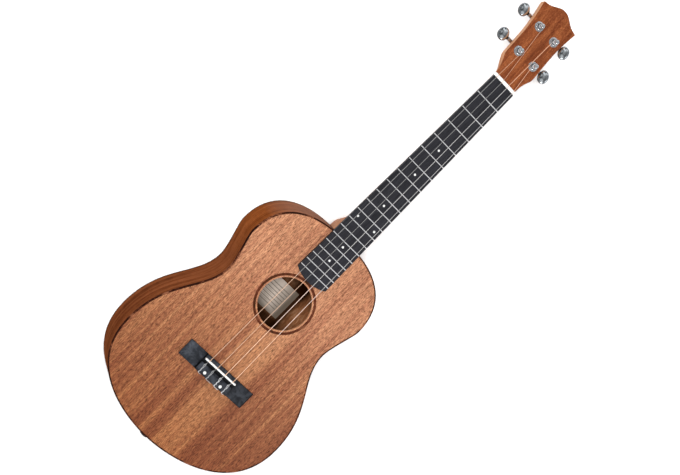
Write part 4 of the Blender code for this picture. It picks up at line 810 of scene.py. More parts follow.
def rib(side):
    """One bent side, from the tail seam to the heel."""
    outer, inner = outline(0.0), outline(RIB_T)
    first = next(i for i, p in enumerate(outer) if p[0] > 0.6)
    last = max(i for i, p in enumerate(outer) if p[0] > 10.9)

    def row(pts):
        def cut(i, x):
            (xa, ya), (xb, yb) = pts[i], pts[i + 1]
            t = (x - xa) / (xb - xa)
            return (x, ya + (yb - ya) * t)
        return [cut(first - 1, 0.06)] + pts[first:last + 1] + [cut(last, 10.3)]

    a, b = row(outer), row(inner)
    low, high = BACK_T + 0.05, TOP_Z - BINDING_H - 0.05
    loops = [[(side * x, y, z) for x, y in pts] for pts, z in ((a, low), (a, high), (b, high), (b, low))]
    n = len(a)
    faces = []
    for k in range(4):
        p, q = k * n, ((k + 1) % 4) * n
        faces += [[p + i, p + i + 1, q + i + 1, q + i] for i in range(n - 1)]
    faces += [[0, n, 2 * n, 3 * n], [n - 1, 2 * n - 1, 3 * n - 1, 4 * n - 1]]
    return [v for loop in loops for v in loop], faces


def lining(side, top):
    """Kerfed lining in the corner between a side and a plate."""
    outer, inner = outline(RIB_T + 0.05, 60), outline(RIB_T + 1.05, 60)
    tip = outline(RIB_T + 5.4, 60)
    run = [0.0]
    for (xa, ya), (xb, yb) in zip(outer, outer[1:]):
        run.append(run[-1] + math.hypot(xb - xa, yb - ya))

    def point(rows, s):
        i = max(0, min(len(run) - 2, next((k for k, v in enumerate(run) if v > s), len(run) - 1) - 1))
        t = (s - run[i]) / (run[i + 1] - run[i])
        return tuple(a + (b - a) * t for a, b in zip(rows[i], rows[i + 1]))

    z0, sign = (TOP_Z - TOP_T - 0.1, -1) if top else (BACK_T + 0.1, 1)
    loops = []
    s, end = 32.0, run[-1] - 40.0
    while s < end:
        for a, b in ((s, True), (s + 5.2, True), (s + 5.25, False), (s + 6.3, False)):
            o, i, t = point(outer, a), point(inner, a), point(tip, a)
            inner_tip = t if b else i
            loops.append([(side * x, y, z0 + sign * z) for (x, y), z in (
                (o, 0.0), (inner_tip, 0.0), (inner_tip, 3.2 if b else 9.0), (i, 11.0), (o, 12.0))])
        s += 6.35
    return skin(loops)


def build_body():
    piece("back_leaf", skin([around(i, z) for i, z in ((1.0, 0.0), (0.45, 0.1), (0.12, 0.35), (0.0, 0.75), (0.0, BACK_T))]),
          M["back"], replaces=("back_plate",), smooth=30)
    low = TOP_Z - TOP_T
    steps = ((35.55, low), (HOLE_R, low + 0.15), (HOLE_R, TOP_Z - 0.35), (35.5, TOP_Z - 0.1), (35.75, TOP_Z),
             (ROSE_IN, TOP_Z), (ROSE_IN, TOP_Z - 1.1), (ROSE_OUT, TOP_Z - 1.1), (ROSE_OUT, TOP_Z))
    face = [around(i, z) for i, z in ((BINDING_W + 0.04, low), (BINDING_W + 0.04, TOP_Z))]
    piece("soundboard_face", holed_plate(face, [at_hole(r, z) for r, z in steps]), M["top"],
          replaces=("soundboard",), smooth=30)
    prof = ((ROSE_IN + 0.03, TOP_Z - 1.0), (ROSE_IN + 0.03, TOP_Z - 0.04), (ROSE_IN + 0.12, TOP_Z + 0.03),
            (ROSE_OUT - 0.12, TOP_Z + 0.03), (ROSE_OUT - 0.03, TOP_Z - 0.04), (ROSE_OUT - 0.03, TOP_Z - 1.0))
    piece("rosette_ring", skin([at_hole(r, z) for r, z in prof], closed=True), M["ring"],
          replaces=("rosette",))
    prof = ((0.0, TOP_Z - BINDING_H), (0.0, TOP_Z - 0.3), (0.09, TOP_Z - 0.09), (0.3, TOP_Z), (BINDING_W, TOP_Z),
            (BINDING_W, TOP_Z - BINDING_H))
    piece("binding_strip", skin([around(i, z) for i, z in prof], closed=True), M["tortoise"],
          replaces=("binding",))
    for name, side in (("bass", -1), ("treble", 1)):
        piece("side_" + name, rib(side), M["sides"], replaces=("rib_" + name,))
        piece("lining_top_" + name, lining(side, True), M["lining"], smooth=20)
        piece("lining_back_" + name, lining(side, False), M["lining"], smooth=20)
    # label on the back, seen through the sound hole
    corners = []
    for cx, cy, a0 in ((29.2, 132.2, 0), (-33.2, 132.2, 90), (-33.2, 88.8, 180), (29.2, 88.8, 270)):
        corners += [(cx + 0.8 * math.cos(math.radians(a0 + d)), cy + 0.8 * math.sin(math.radians(a0 + d)))
                    for d in (0, 30, 60, 90)]
    piece("label", skin([[(x, y, z) for x, y in corners] for z in (BACK_T + 0.02, BACK_T + 0.17)]), M["paper"])
    # strap button: a turned collar and cap, with a crossed screw head in its end
    prof = [(1.9, 13.0), (1.9, -0.2), (3.4, -0.2), (3.6, -0.7), (3.45, -1.8), (3.2, -3.2), (3.4, -4.2), (4.2, -4.9),
            (5.3, -5.4), (5.85, -5.8), (6.0, -6.3), (5.85, -6.9), (5.3, -7.3), (4.2, -7.7), (3.2, -7.85), (2.9, -7.7),
            (2.75, -7.45), (2.4, -7.75), (1.2, -7.95), (0.0, -8.0)]
    body = lathe([(0.0, 14.2)] + prof, 48)
    slots = (slab(-1.5, 1.5, -0.28, 0.28, -9.0, -7.3), slab(-0.28, 0.28, -1.5, 1.5, -9.0, -7.3))
    v, f = combine(body, *(("DIFFERENCE", s) for s in slots))
    piece("strap_button_turned", ([(x, TAIL_Y + z, 40.0 + y) for x, y, z in v], f), M["black"],
          replaces=("strap_button",))


# ---------------------------------------------------------------- neck
def heel_depth(y):
    shaft = NECK_DEPTH_NUT + (NECK_DEPTH_HEEL - NECK_DEPTH_NUT) * (HEAD_Y - y) / (HEAD_Y - HEEL_Y)
    u = (y - HEEL_Y - HEEL_CAP) / HEEL_SWEEP
    if u <= 0.0:
        return HEEL_DEPTH
    if u >= 1.0:
        return shaft
    return shaft + (HEEL_DEPTH - shaft) * (0.5 + 0.5 * math.cos(math.pi * u ** 1.1))


def neck_section(y, points=22, draw=0.0):
    top = TOP_Z
    half = board_half(min(y, fret_y(0))) - 0.55
    if y > HEAD_Y - 2:
        half = board_half(fret_y(0)) - 0.6
        top = min(TOP_Z, HEAD_FACE_Z - (y - HEAD_Y) * math.tan(TILT) - 1.2)
    depth = heel_depth(y)
    deep = max(0.0, min(1.0, (depth - NECK_DEPTH_HEEL) / (HEEL_DEPTH - NECK_DEPTH_HEEL)))
    square = max(0.0, min(1.0, (y - HEAD_Y + 5.0) / 6.0))
    power = 1.75 + 2.2 * deep + 0.4 * square * square * (3 - 2 * square)
    loop = []
    for i in range(2 * points + 1):
        a = math.pi * i / (2 * points)
        ca, sa = math.cos(a), math.sin(a)
        x = math.copysign(abs(ca) ** (2.0 / power), ca)
        z = abs(sa) ** (2.0 / power)
        h = half + (HEEL_HALF - half) * deep * z ** 1.6
        loop.append(((h - draw) * x, y, top - (depth - (TOP_Z - top) - draw) * z))
    return loop


def head_half():
    """Treble half of the headstock's outline, (u, v) from the back of the nut."""
    flank = [(18.4, 0.0), (19.0, 5.0), (19.8, 10.0), (21.2, 15.0), (23.2, 20.0), (25.4, 25.0), (26.2, 29.5),
             (26.2, 36.0), (26.0, 46.0), (25.9, 61.0), (26.1, 75.0), (26.9, 85.0), (28.0, 95.0), (29.5, 105.0),
             (30.8, 112.6)]
    crown = [(30.3, 113.9), (25.6, 114.7), (21.6, 115.7), (18.4, 117.1), (15.0, 119.2), (11.6, 121.3), (8.4, 123.2),
             (5.4, 124.5), (2.7, 125.1), (0.0, HEAD_LENGTH)]
    a = [tuple(p)[:2] for p in smooth_line([(x, y, 0) for x, y in flank], 4)]
    mirror = crown + [(-2.7, 125.1)]
    b = [tuple(p)[:2] for p in smooth_line([(x, y, 0) for x, y in mirror], 4)][:4 * (len(crown) - 1) + 1]
    b[-1] = (0.0, HEAD_LENGTH)
    return a + b


def inset_loop(pts, d):
    """Moves a closed outline, which runs anticlockwise, inward by d."""
    out = []
    n = len(pts)
    for i in range(n):
        (xa, ya), (xb, yb), (xc, yc) = pts[i - 1], pts[i], pts[(i + 1) % n]
        n1 = Vector((-(yb - ya), xb - xa)).normalized()
        n2 = Vector((-(yc - yb), xc - xb)).normalized()
        m = n1 + n2
        m = m / max(0.3, m.dot(n1))
        out.append((xb + m.x * d, yb + m.y * d))
    return out


def build_neck():
    ys = [HEEL_Y, HEEL_Y + 0.25, HEEL_Y + 2.0, HEEL_Y + HEEL_CAP]
    ys += [HEEL_Y + HEEL_CAP + HEEL_SWEEP * i / 22.0 for i in range(1, 23)]
    start = ys[-1]
    ys += [start + (HEAD_Y - 18 - start) * i / 16.0 for i in range(1, 17)]
    ys += [HEAD_Y - 18 + d for d in (6.0, 12.0, 13.5, 14.5, 15.5, 16.5)]
    ys += [HEAD_Y + d for d in (-0.5, 0.5, 2.0, 6.0, 10.0, 14.0, 18.0, 22.5)]
    shaft = skin([neck_section(y) for y in ys])
    half = head_half()
    full = half + [(-x, y) for x, y in half[-2::-1]]
    loops = []
    # beside the nut the plate's flanks are rounded under, as the neck is, and then run out to a square edge
    for d, w, under in ((0.9, -HEAD_T, 5.9), (0.35, -HEAD_T + 0.25, 5.65), (0.0, -HEAD_T + 0.9, 5.3), (0.0, -8.5, 3.9),
                        (0.0, -6.0, 2.0), (0.0, -3.0, 0.6), (0.0, -0.55, 0.0), (0.16, -0.16, 0.0), (0.5, 0.0, 0.0)):
        loop = []
        for x, y in inset_loop(full, d):
            y = max(0.0, y)
            tuck = under * max(0.0, 1.0 - y / 20.0) ** 1.6
            loop.append(head(math.copysign(abs(x) - tuck, x) if abs(x) > 1.0 else x, y, w))
        loops.append(loop)
    plate = skin(loops)
    tenon = slab(-10.0, 10.0, HEEL_Y - 15.0, HEEL_Y + 4.0, 22.0, 58.0)
    lows = [NODES["neck"].data.vertices[i].co for i in range(len(NODES["neck"].data.vertices))]
    inner = [v for v in lows if v.y < (HEEL_Y - 10.0 - ORIGIN_Y) * MM]
    if inner:
        tenon = slab(-10.0, 10.0, HEEL_Y - 15.0, HEEL_Y + 4.0, min(v.z for v in inner) / MM, max(v.z for v in inner) / MM)
    tools = []
    for s in (-1, 1):
        for v in POST_V:
            vv, ff = lathe([(4.5, -HEAD_T - 3), (4.5, 3.0)], 40, s * POST_X, v)
            tools.append(([head(*p) for p in vv], ff))
    shape = combine(shaft, ("UNION", plate), ("UNION", tenon), *(("DIFFERENCE", t) for t in tools))
    piece("neck_and_headstock", shape, M["neck"], replaces=("neck",), smooth=40)


# ---------------------------------------------------------------- frets, nut, saddle, bridge
def build_fretwork():
    for n in range(1, 20):
        y = fret_y(n)
        half = board_half(y) - 0.1
        seat, h, t = BOARD_TOP + 0.02, 0.98, 0.25
        crown = [(0.62 * math.cos(math.radians(a)), seat + 0.12 + (h - 0.12) * math.sin(math.radians(a)))
                 for a in range(0, 181, 15)]
        prof = [(-t, BOARD_TOP - 1.9), (t, BOARD_TOP - 1.9), (t, seat), (0.62, seat)] + crown + [(-0.62, seat), (-t, seat)]
        loops = []
        for x, k in ((-half, 0.10), (-half + 0.15, 0.45), (-half + 0.4, 0.82), (-half + 0.75, 1.0),
                     (half - 0.75, 1.0), (half - 0.4, 0.82), (half - 0.15, 0.45), (half, 0.10)):
            loops.append([(x, y + a, b if b <= seat else seat + (b - seat) * k) for a, b in prof])
        piece("fret_wire_%02d" % n, skin(loops), M["fret"], replaces=("fret_%02d" % n,), smooth=40)
    for n, xs in ((5, (0,)), (7, (0,)), (10, (0,)), (12, (-15.3, 15.3)), (15, (0,)), (17, (0,))):
        y = 0.5 * (fret_y(n) + fret_y(n - 1))
        for k, x in enumerate(xs):
            dot = lathe([(1.5, 0.0), (1.5, 0.04), (1.4, 0.09), (0.75, 0.11), (0.0, 0.11)], 36)
            piece("board_dot_%02d_%d" % (n, k), moved(dot, x, y, BOARD_TOP + 0.02), M["dot"])

    # nut: rounded over the back, with a round-bottomed slot for each string
    prof = [(NUT_FRONT + 0.02, BOARD_Z), (NUT_BACK - 0.02, BOARD_Z), (NUT_BACK - 0.02, NUT_TOP - 2.3)]
    prof += [(NUT_BACK - 2.4 + 2.38 * math.cos(a), NUT_TOP - 2.3 + 2.15 * math.sin(a))
             for a in (math.radians(d) for d in range(15, 91, 15))]
    prof += [(NUT_FRONT + 0.5, NUT_TOP), (NUT_FRONT + 0.12, NUT_TOP - 0.1), (NUT_FRONT + 0.02, NUT_TOP - 0.4)]
    cuts = []
    for i, (_, r, _) in enumerate(STRINGS):
        x = NUT_SPACING * (i - 1.5)
        w, low = r + 0.10, STRING_Z_NUT - r - 0.12
        section = [(-w, 4.0), (-w, w)] + [(-w * math.cos(math.radians(a)), w - w * math.sin(math.radians(a)))
                                           for a in range(30, 151, 30)] + [(w, w), (w, 4.0)]
        cuts.append(skin([[(x + a, NUT_FRONT + q, low - dz + b) for a, b in section]
                          for q, dz in ((-2.0, 0.0), (1.0, 0.0), (7.0, 2.6))]))
    piece("nut_bone", combine(along_x(prof, -0.5 * NUT_LENGTH, 0.5 * NUT_LENGTH, 0.35),
                              *(("DIFFERENCE", c) for c in cuts)), M["white"], replaces=("nut",))

    # saddle: crowned, with softened ends
    t, low = 0.5 * SADDLE_T, TOP_Z + 0.3 + 3.5
    prof = [(SADDLE_Y - t, low), (SADDLE_Y + t, low), (SADDLE_Y + t, SADDLE_TOP - 1.25)]
    prof += [(SADDLE_Y + t * math.cos(math.radians(a)), SADDLE_TOP - 1.25 + 1.25 * math.sin(math.radians(a)))
             for a in range(15, 166, 15)] + [(SADDLE_Y - t, SADDLE_TOP - 1.25)]
    piece("saddle_bone", along_x(prof, -0.5 * SADDLE_LENGTH, 0.5 * SADDLE_LENGTH, 0.6), M["white"],
          replaces=("saddle",))


def build_bridge():
    z0 = TOP_Z + 0.3
    b, f, L, c = -20.9, 3.8, 55.3, 27.5

    def rounded(y0, y1, h, e):
        corner = [(1 - math.cos(math.radians(a)), 1 - math.sin(math.radians(a))) for a in range(0, 91, 18)]
        right = [(y1 - e * p, h - e * q) for p, q in corner]
        left = [(y0 + e * p, h - e * q) for p, q in corner[::-1]]
        return [(y0, 0.0), (y1, 0.0)] + right + left

    stations = ((-L, 2.3, 0.3, 0.35), (-L + 0.25, 2.75, 0.1, 0.45), (-L + 0.8, 3.2, 0.0, 0.55), (-L + 2.0, 3.65, 0.0, 0.65),
                (-L + 3.6, 3.95, 0.0, 0.75), (-L + 6.0, 4.1, 0.0, 0.8), (-c - 0.3, 4.1, 0.0, 0.8))
    wings = skin([[(x, y, z0 + z) for y, z in rounded(b + inset, f - inset, h, e)]
                  for x, h, inset, e in stations + tuple((-x, h, i, e) for x, h, i, e in stations[::-1])])
    block = skin([[(x, y, z0 + z) for y, z in rounded(b + inset, f - inset, 8.2 - drop, e)]
                  for x, inset, drop, e in ((-c - 0.3, 0.5, 0.45, 0.7), (-c - 0.15, 0.15, 0.12, 0.75), (-c + 0.2, 0.0, 0.0, 0.8),
                                            (c - 0.2, 0.0, 0.0, 0.8), (c + 0.15, 0.15, 0.12, 0.75), (c + 0.3, 0.5, 0.45, 0.7))])
    bed = along_x([(-5.7, z0 + 7.1), (f - 1.6, z0 + 7.1), (f - 0.9, z0 + 6.95), (f - 0.35, z0 + 6.5), (f - 0.05, z0 + 5.9),
                   (f + 0.6, z0 + 5.2), (f + 0.6, z0 + 14), (-5.7, z0 + 14)], -c - 1.0, c + 1.0)
    channel = along_x([(-7.8, z0 + 4.3), (-4.7, z0 + 4.3), (-4.7, z0 + 15), (-11.7, z0 + 15), (-11.7, z0 + 8.3),
                       (-11.2, z0 + 8.02), (-7.95, z0 + 6.05), (-7.8, z0 + 5.8)], -c - 0.9, c + 0.9)
    slot = slab(-0.5 * SADDLE_LENGTH - 0.06, 0.5 * SADDLE_LENGTH + 0.06, SADDLE_Y - 0.5 * SADDLE_T - 0.05,
                SADDLE_Y + 0.5 * SADDLE_T + 0.05, z0 + 3.3, z0 + 15)
    holes = []
    for i in range(4):
        x = SADDLE_SPACING * (i - 1.5)
        slope = (6.5 - 4.4) / (-8.8 + 20.9)
        holes.append(skin([[(x + p, y, z0 + 4.4 + slope * (y + 20.9) + q) for p, q, _ in ring(0.85, 0, 20)]
                           for y in (-23.0, -6.3)]))
    shape = combine(wings, ("UNION", block), ("DIFFERENCE", bed), ("DIFFERENCE", channel), ("DIFFERENCE", slot),
                    *(("DIFFERENCE", h) for h in holes))
    piece("bridge_block", shape, M["bridge"], replaces=("bridge",), smooth=28)
    for k, x in enumerate((-13.9, 13.9)):
        dot = lathe([(2.1, 0.0), (2.1, 0.06), (1.95, 0.13), (1.0, 0.17), (0.0, 0.17)], 40)
        piece("bridge_dot_%d" % k, moved(dot, x, -16.6, z0 + 8.22), M["dot"])


def build_strings():
    """The speaking lengths: out of the block, over the saddle, through the nut's slots and on to the posts."""
    z0 = TOP_Z + 0.3
    top = 87.55
    for i, (name, r, is_wound) in enumerate(STRINGS):
        xs, xn = SADDLE_SPACING * (i - 1.5), NUT_SPACING * (i - 1.5)
        side = -1 if i < 2 else 1
        cx, cv = side * POST_X, POST_V[0] if i in (0, 3) else POST_V[1]
        d = math.hypot(cx - xn, cv)
        ang = math.atan2(cv, cx - xn) + side * math.asin(2.95 / d)
        reach = math.sqrt(d * d - 2.95 ** 2)
        end = Vector(head(xn + reach * math.cos(ang), reach * math.sin(ang), 6.3))
        pts = [Vector(p) for p in ((xs, -20.3, z0 + 4.5), (xs, -9.4, z0 + 6.4), (xs, -8.6, z0 + 6.65),
                                   (xs, SADDLE_Y - 1.7, top - 0.95), (xs, SADDLE_Y - 1.1, top - 0.45),
                                   (xs, SADDLE_Y - 0.6, top - 0.11), (xs, SADDLE_Y, top - 0.01))]
        a, b = Vector((xs, SADDLE_Y + 0.6, top)), Vector((xn, NUT_FRONT + 0.6, STRING_Z_NUT))
        pts += [a.lerp(b, k / 12.0) for k in range(13)]
        leave = Vector((xn, NUT_BACK + 0.3, STRING_Z_NUT - 0.95))
        pts += [b.lerp(leave, 0.45) + Vector((0, 0, 0.08)), leave]
        pts += [leave.lerp(end, k / 6.0) for k in range(1, 7)]
        piece("played_" + name, tube(pts, r * 0.86, 12), M["wound"] if is_wound else M["nylon"],
              replaces=(name,), smooth=60)


def build_knots():
    """Each string leaves its hole behind the block, runs forward, loops round itself and is twisted back."""
    z0 = TOP_Z + 0.3
    for i, (name, r, is_wound) in enumerate(STRINGS):
        x, top = SADDLE_SPACING * (i - 1.5), 8.22 + 0.8 * r
        reach = (4.5, 8.5, 8.0, 3.5)[i]
        pts = [(x, -20.2, 4.5), (x, -21.3, 4.45), (x - 0.05, -21.6, 5.6), (x - 0.05, -21.45, 7.4), (x, -20.8, top - 0.05),
               (x, -19.6, top), (x, -16.0, top), (x - 0.1, -13.4, top), (x - 0.55, -11.8, top), (x - 0.8, -10.4, top - 0.75),
               (x - 0.95, -9.0, top - 1.1), (x - 0.7, -7.75, top - 0.75), (x, -7.3, top + 0.05), (x + 0.75, -7.9, top - 0.45),
               (x + 0.95, -9.2, top - 0.95), (x + 0.85, -10.6, top - 0.5), (x + 0.75, -12.0, top + 0.05)]
        start, stop, turns = -12.8, -19.6, 1.5
        for k in range(1, 17):
            t = k / 16.0
            a = 2 * math.pi * turns * t
            pts.append((x + 1.7 * r * math.cos(a), start + (stop - start) * t, top + 1.72 * r * abs(math.sin(a))))
        s = -1 if math.cos(2 * math.pi * turns) < 0 else 1
        pts += [(x + s * 0.7 + 0.3, -20.6, top + 0.15), (x + 0.9, -21.4, top - 0.2), (x + 1.8, -21.75, top - 0.9),
                (x + 0.5 * reach, -21.7, top - 1.3), (x + reach, -21.85, top - 1.5)]
        line = smooth_line([(a, b, z0 + c) for a, b, c in pts], 4)
        piece("tie_" + TAGS[i][0], tube(line, r * 0.78, 10), M["wound_coil"] if is_wound else M["nylon_coil"],
              smooth=60)


# ---------------------------------------------------------------- tuners
def worm_shaft(side):
    """Worm, shaft and button in one piece about the X axis; +x is outward."""
    n, turns = 32, 4
    verts, faces = [], []
    root, crest_r = 1.6, 2.85

    def add(x, r, i):
        a = 2 * math.pi * (i % n) / n
        verts.append((x, r * math.cos(a), r * math.sin(a)))
        return len(verts) - 1

    x_start = -0.5 * WORM_LEAD * turns
    base, crest = 0.49, 0.225
    rows = [[], [], [], []]
    for i in range(turns * n + 1):
        xc = x_start + WORM_LEAD * i / n
        for row, (dx, r) in zip(rows, ((-base, root), (-crest, crest_r), (crest, crest_r), (base, root))):
            row.append(add(xc + dx, r, i))
    for i in range(turns * n):
        for k in range(3):
            faces.append([rows[k][i], rows[k][i + 1], rows[k + 1][i + 1], rows[k + 1][i]])
    for i in range((turns - 1) * n):
        faces.append([rows[3][i], rows[3][i + 1], rows[0][i + 1 + n], rows[0][i + n]])
    c = [add(x_start - base - 0.5, root, i) for i in range(n)]
    for i in range(n - 1):
        faces.append([c[i], c[i + 1], rows[0][i + 1], rows[0][i]])
    q = c[n - 1]
    for a, b in ((rows[0][n - 1], rows[0][n]), (rows[0][n], rows[3][0]), (rows[3][0], rows[0][0]), (rows[0][0], c[0])):
        faces.append([q, a, b])
    faces.append([rows[0][0], rows[3][0], rows[2][0], rows[1][0]])
    e = turns * n
    x_end = x_start + WORM_LEAD * turns + base + 0.5
    d = [add(x_end, root, i) for i in range(n)]
    q = rows[3][e - n + 1]
    for a, b in ((rows[3][e - n], rows[0][e]), (rows[0][e], rows[3][e]), (rows[3][e], d[0]), (d[0], d[1])):
        faces.append([q, a, b])
    for i in range(1, n):
        faces.append([rows[3][e - n + i], rows[3][e - n + i + 1], d[(i + 1) % n], d[i]])
    faces.append([rows[0][e], rows[1][e], rows[2][e], rows[3][e]])

    def loop(x, rv, rw):
        k = len(verts)
        verts.extend((x, rv * math.cos(2 * math.pi * i / n), rw * math.sin(2 * math.pi * i / n)) for i in range(n))
        return list(range(k, k + n))

    def join(a, b):
        for i in range(n):
            j = (i + 1) % n
            faces.append([a[i], a[j], b[j], b[i]])

    last = c
    for x, r in ((x_start - base - 0.5, 1.15), (x_start - base - 1.2, 1.15), (x_start - base - 1.35, 1.0)):
        nxt = loop(x, r, r)
        join(last, nxt)
        last = nxt
    faces.append(last[::-1])
    last = d
    mid = BUTTON_X - POST_X
    neck_end = mid - BUTTON_U
    stations = [(neck_end - 0.5, root, root), (neck_end - 0.3, 2.3, 2.1), (neck_end + 0.2, 2.5, 2.2)]
    for k in range(1, 26):
        s = -math.cos(math.pi * k / 26.0)
        rv = BUTTON_V * max(0.0, 1.0 - abs(s) ** 2.2) ** 0.5
        rw = BUTTON_W * max(0.0, 1.0 - abs(s) ** 2.9) ** 0.5
        if s < 0:
            rv, rw = max(2.6, rv), max(2.2, rw)
        stations.append((mid + BUTTON_U * s, rv, rw))
    for x, rv, rw in stations:
        if x <= verts[last[0]][0] + 0.01:
            continue
        nxt = loop(x, rv, rw)
        join(last, nxt)
        last = nxt
    verts.append((mid + BUTTON_U, 0.0, 0.0))
    faces += [[last[i], last[(i + 1) % n], len(verts) - 1] for i in range(n)]
    if side < 0:
        verts = [(-x, y, z) for x, y, z in verts]
    return verts, faces


def post(side):
    """String post with its worm wheel, about Z, counted from the headstock's face."""
    n = 4 * TEETH
    pitch = WORM_OFFSET - PITCH_R
    twist = WORM_LEAD / (2 * math.pi * pitch) / PITCH_R

    def teeth(z):
        out, shift = [], -side * twist * (z - WORM_W)
        for k in range(TEETH):
            mid = math.pi / 2 + 2 * math.pi * k / TEETH + shift
            for r, half in ((ROOT_R, -0.51), (TIP_R, -0.24), (TIP_R, 0.24), (ROOT_R, 0.51)):
                a = mid + half / r
                out.append((r * math.cos(a), r * math.sin(a), z))
        return out

    def plain(r, z, like):
        return [(r * math.cos(a), r * math.sin(a), z) for a in (math.atan2(p[1], p[0]) for p in like)]

    upper, lower = teeth(WORM_W + WHEEL_HALF), teeth(WORM_W - WHEEL_HALF)
    loops = [[(0.0, 0.0, 11.4)]]
    for r, z in ((1.2, 11.38), (2.1, 11.25), (2.6, 11.0), (2.86, 10.65), (2.95, 10.2), (2.95, 8.3), (2.88, 8.0),
                 (2.5, 7.7), (2.28, 7.4), (2.2, 7.0), (2.2, 5.5), (2.3, 5.1), (2.6, 4.8), (2.85, 4.5), (2.85, -10.0),
                 (2.85, WORM_W + WHEEL_HALF)):
        loops.append(plain(r, z, upper))
    loops += [upper] + [teeth(WORM_W + WHEEL_HALF * (1 - k / 2.0)) for k in range(1, 4)] + [lower]
    for r, z in ((1.8, WORM_W - WHEEL_HALF), (1.8, -19.15), (1.65, -19.3)):
        loops.append(plain(r, z, lower))
    shape = skin(loops)
    return combine(shape, ("DIFFERENCE", moved(([(z, x, y) for x, y, z in lathe([(0.62, -4), (0.62, 4)], 20)[0]],
                                                lathe([(0.62, -4), (0.62, 4)], 20)[1]), 0, 0, 6.3)))


def bushing():
    """Bushing: sleeve, washer flange and six-sided head."""
    n = 72

    def hexagon(apothem, z, soft=0.25):
        out = []
        for i in range(n):
            a = 2 * math.pi * i / n
            d = (a + math.pi / 6) % (math.pi / 3) - math.pi / 6
            out.append((min(apothem / math.cos(d), apothem + 0.155 * apothem - soft), a, z))
        return [(r * math.cos(a), r * math.sin(a), z) for r, a, z in out]

    loops = [ring(3.15, -10.5, n), ring(4.25, -10.5, n), ring(4.25, 0.08, n), ring(6.5, 0.08, n), ring(6.62, 0.25, n),
             ring(6.6, 0.6, n), ring(6.45, 0.85, n), ring(6.15, 0.97, n), ring(5.35, 1.0, n), hexagon(4.7, 1.0),
             hexagon(4.7, 2.35), hexagon(4.55, 2.75), ring(4.5, 2.95, n), ring(4.3, 3.08, n), ring(4.15, 3.05, n),
             ring(3.9, 2.7, n), ring(3.6, 2.1, n), ring(3.3, 1.7, n), ring(3.15, 1.6, n)]
    return skin(loops, closed=True)


def housing_outline(grow=0.0):
    half, low, high = 7.3, -7.6, 11.7
    pts = []
    for cx, cy, r, a0 in ((half - 2.2, high - 2.2, 2.2, 0), (-half + 2.2, high - 2.2, 2.2, 90),
                          (-half + 5.2, low + 5.2, 5.2, 180), (half - 5.2, low + 5.2, 5.2, 270)):
        for i in range(10):
            a = math.radians(a0 + 10 * i)
            pts.append((cx + (r - grow) * math.cos(a), cy + (r - grow) * math.sin(a)))
    return pts


def housing(side):
    back = -HEAD_T - 0.08
    loops = [[(x, y, w) for x, y in housing_outline(d)]
             for d, w in ((0.0, back), (0.0, -18.2), (0.12, -18.8), (0.5, -19.3), (1.1, -19.55), (1.6, -19.6))]
    shell = skin(loops)
    lug = skin([[(r * math.cos(math.radians(a)), -9.4 + r * math.sin(math.radians(a)), w) for a in range(180, 361, 12)]
                + [(r, -6.0, w), (-r, -6.0, w)] for r, w in ((2.95, back), (2.95, back - 2.0), (2.75, back - 2.4),
                                                             (2.4, back - 2.5))])
    reach = BUTTON_X - POST_X - BUTTON_U - 0.5
    collar = lying(lathe([(2.6, 5.9), (2.6, reach - 0.4), (2.2, reach)], 36), side)
    collar = moved(collar, 0, WORM_OFFSET, WORM_W)
    steps = [("UNION", lug), ("UNION", collar)]
    for tool in (lathe([(5.45, -17.1), (5.45, back + 4)], 40),
                 slab(-5.35, 5.35, WORM_OFFSET - 3.15, WORM_OFFSET + 3.15, -17.55, back + 5),
                 lathe([(1.98, -22.0), (1.98, -16.0)], 28),
                 moved(lying(lathe([(1.78, 4.5), (1.78, reach + 3)], 28), side), 0, WORM_OFFSET, WORM_W),
                 moved(lying(lathe([(1.35, 4.5), (1.35, 6.4)], 28), -side), 0, WORM_OFFSET, WORM_W),
                 lathe([(1.1, back - 5), (1.1, back + 3)], 24, 0.0, -9.4)):
        steps.append(("DIFFERENCE", tool))
    return combine(shell, *steps)


def crossed_screw(radius, low, high, shank, deep):
    """A pan head screw whose head points down; its shank goes up into the wood."""
    head_shape = lathe([(0.0, deep), (shank * 0.5, deep - 0.6), (shank, deep - 1.6), (shank, low), (radius, low),
                        (radius, low - 0.35 * (low - high)), (radius * 0.86, low - 0.75 * (low - high)),
                        (radius * 0.5, high + 0.03), (0.0, high)], 32)
    a, b = 0.62 * radius, 0.13 * radius
    cut = 0.5 * (low - high)
    return combine(head_shape, ("DIFFERENCE", slab(-a, a, -b, b, high - 1.0, high + cut)),
                   ("DIFFERENCE", slab(-b, b, -a, a, high - 1.0, high + cut)))


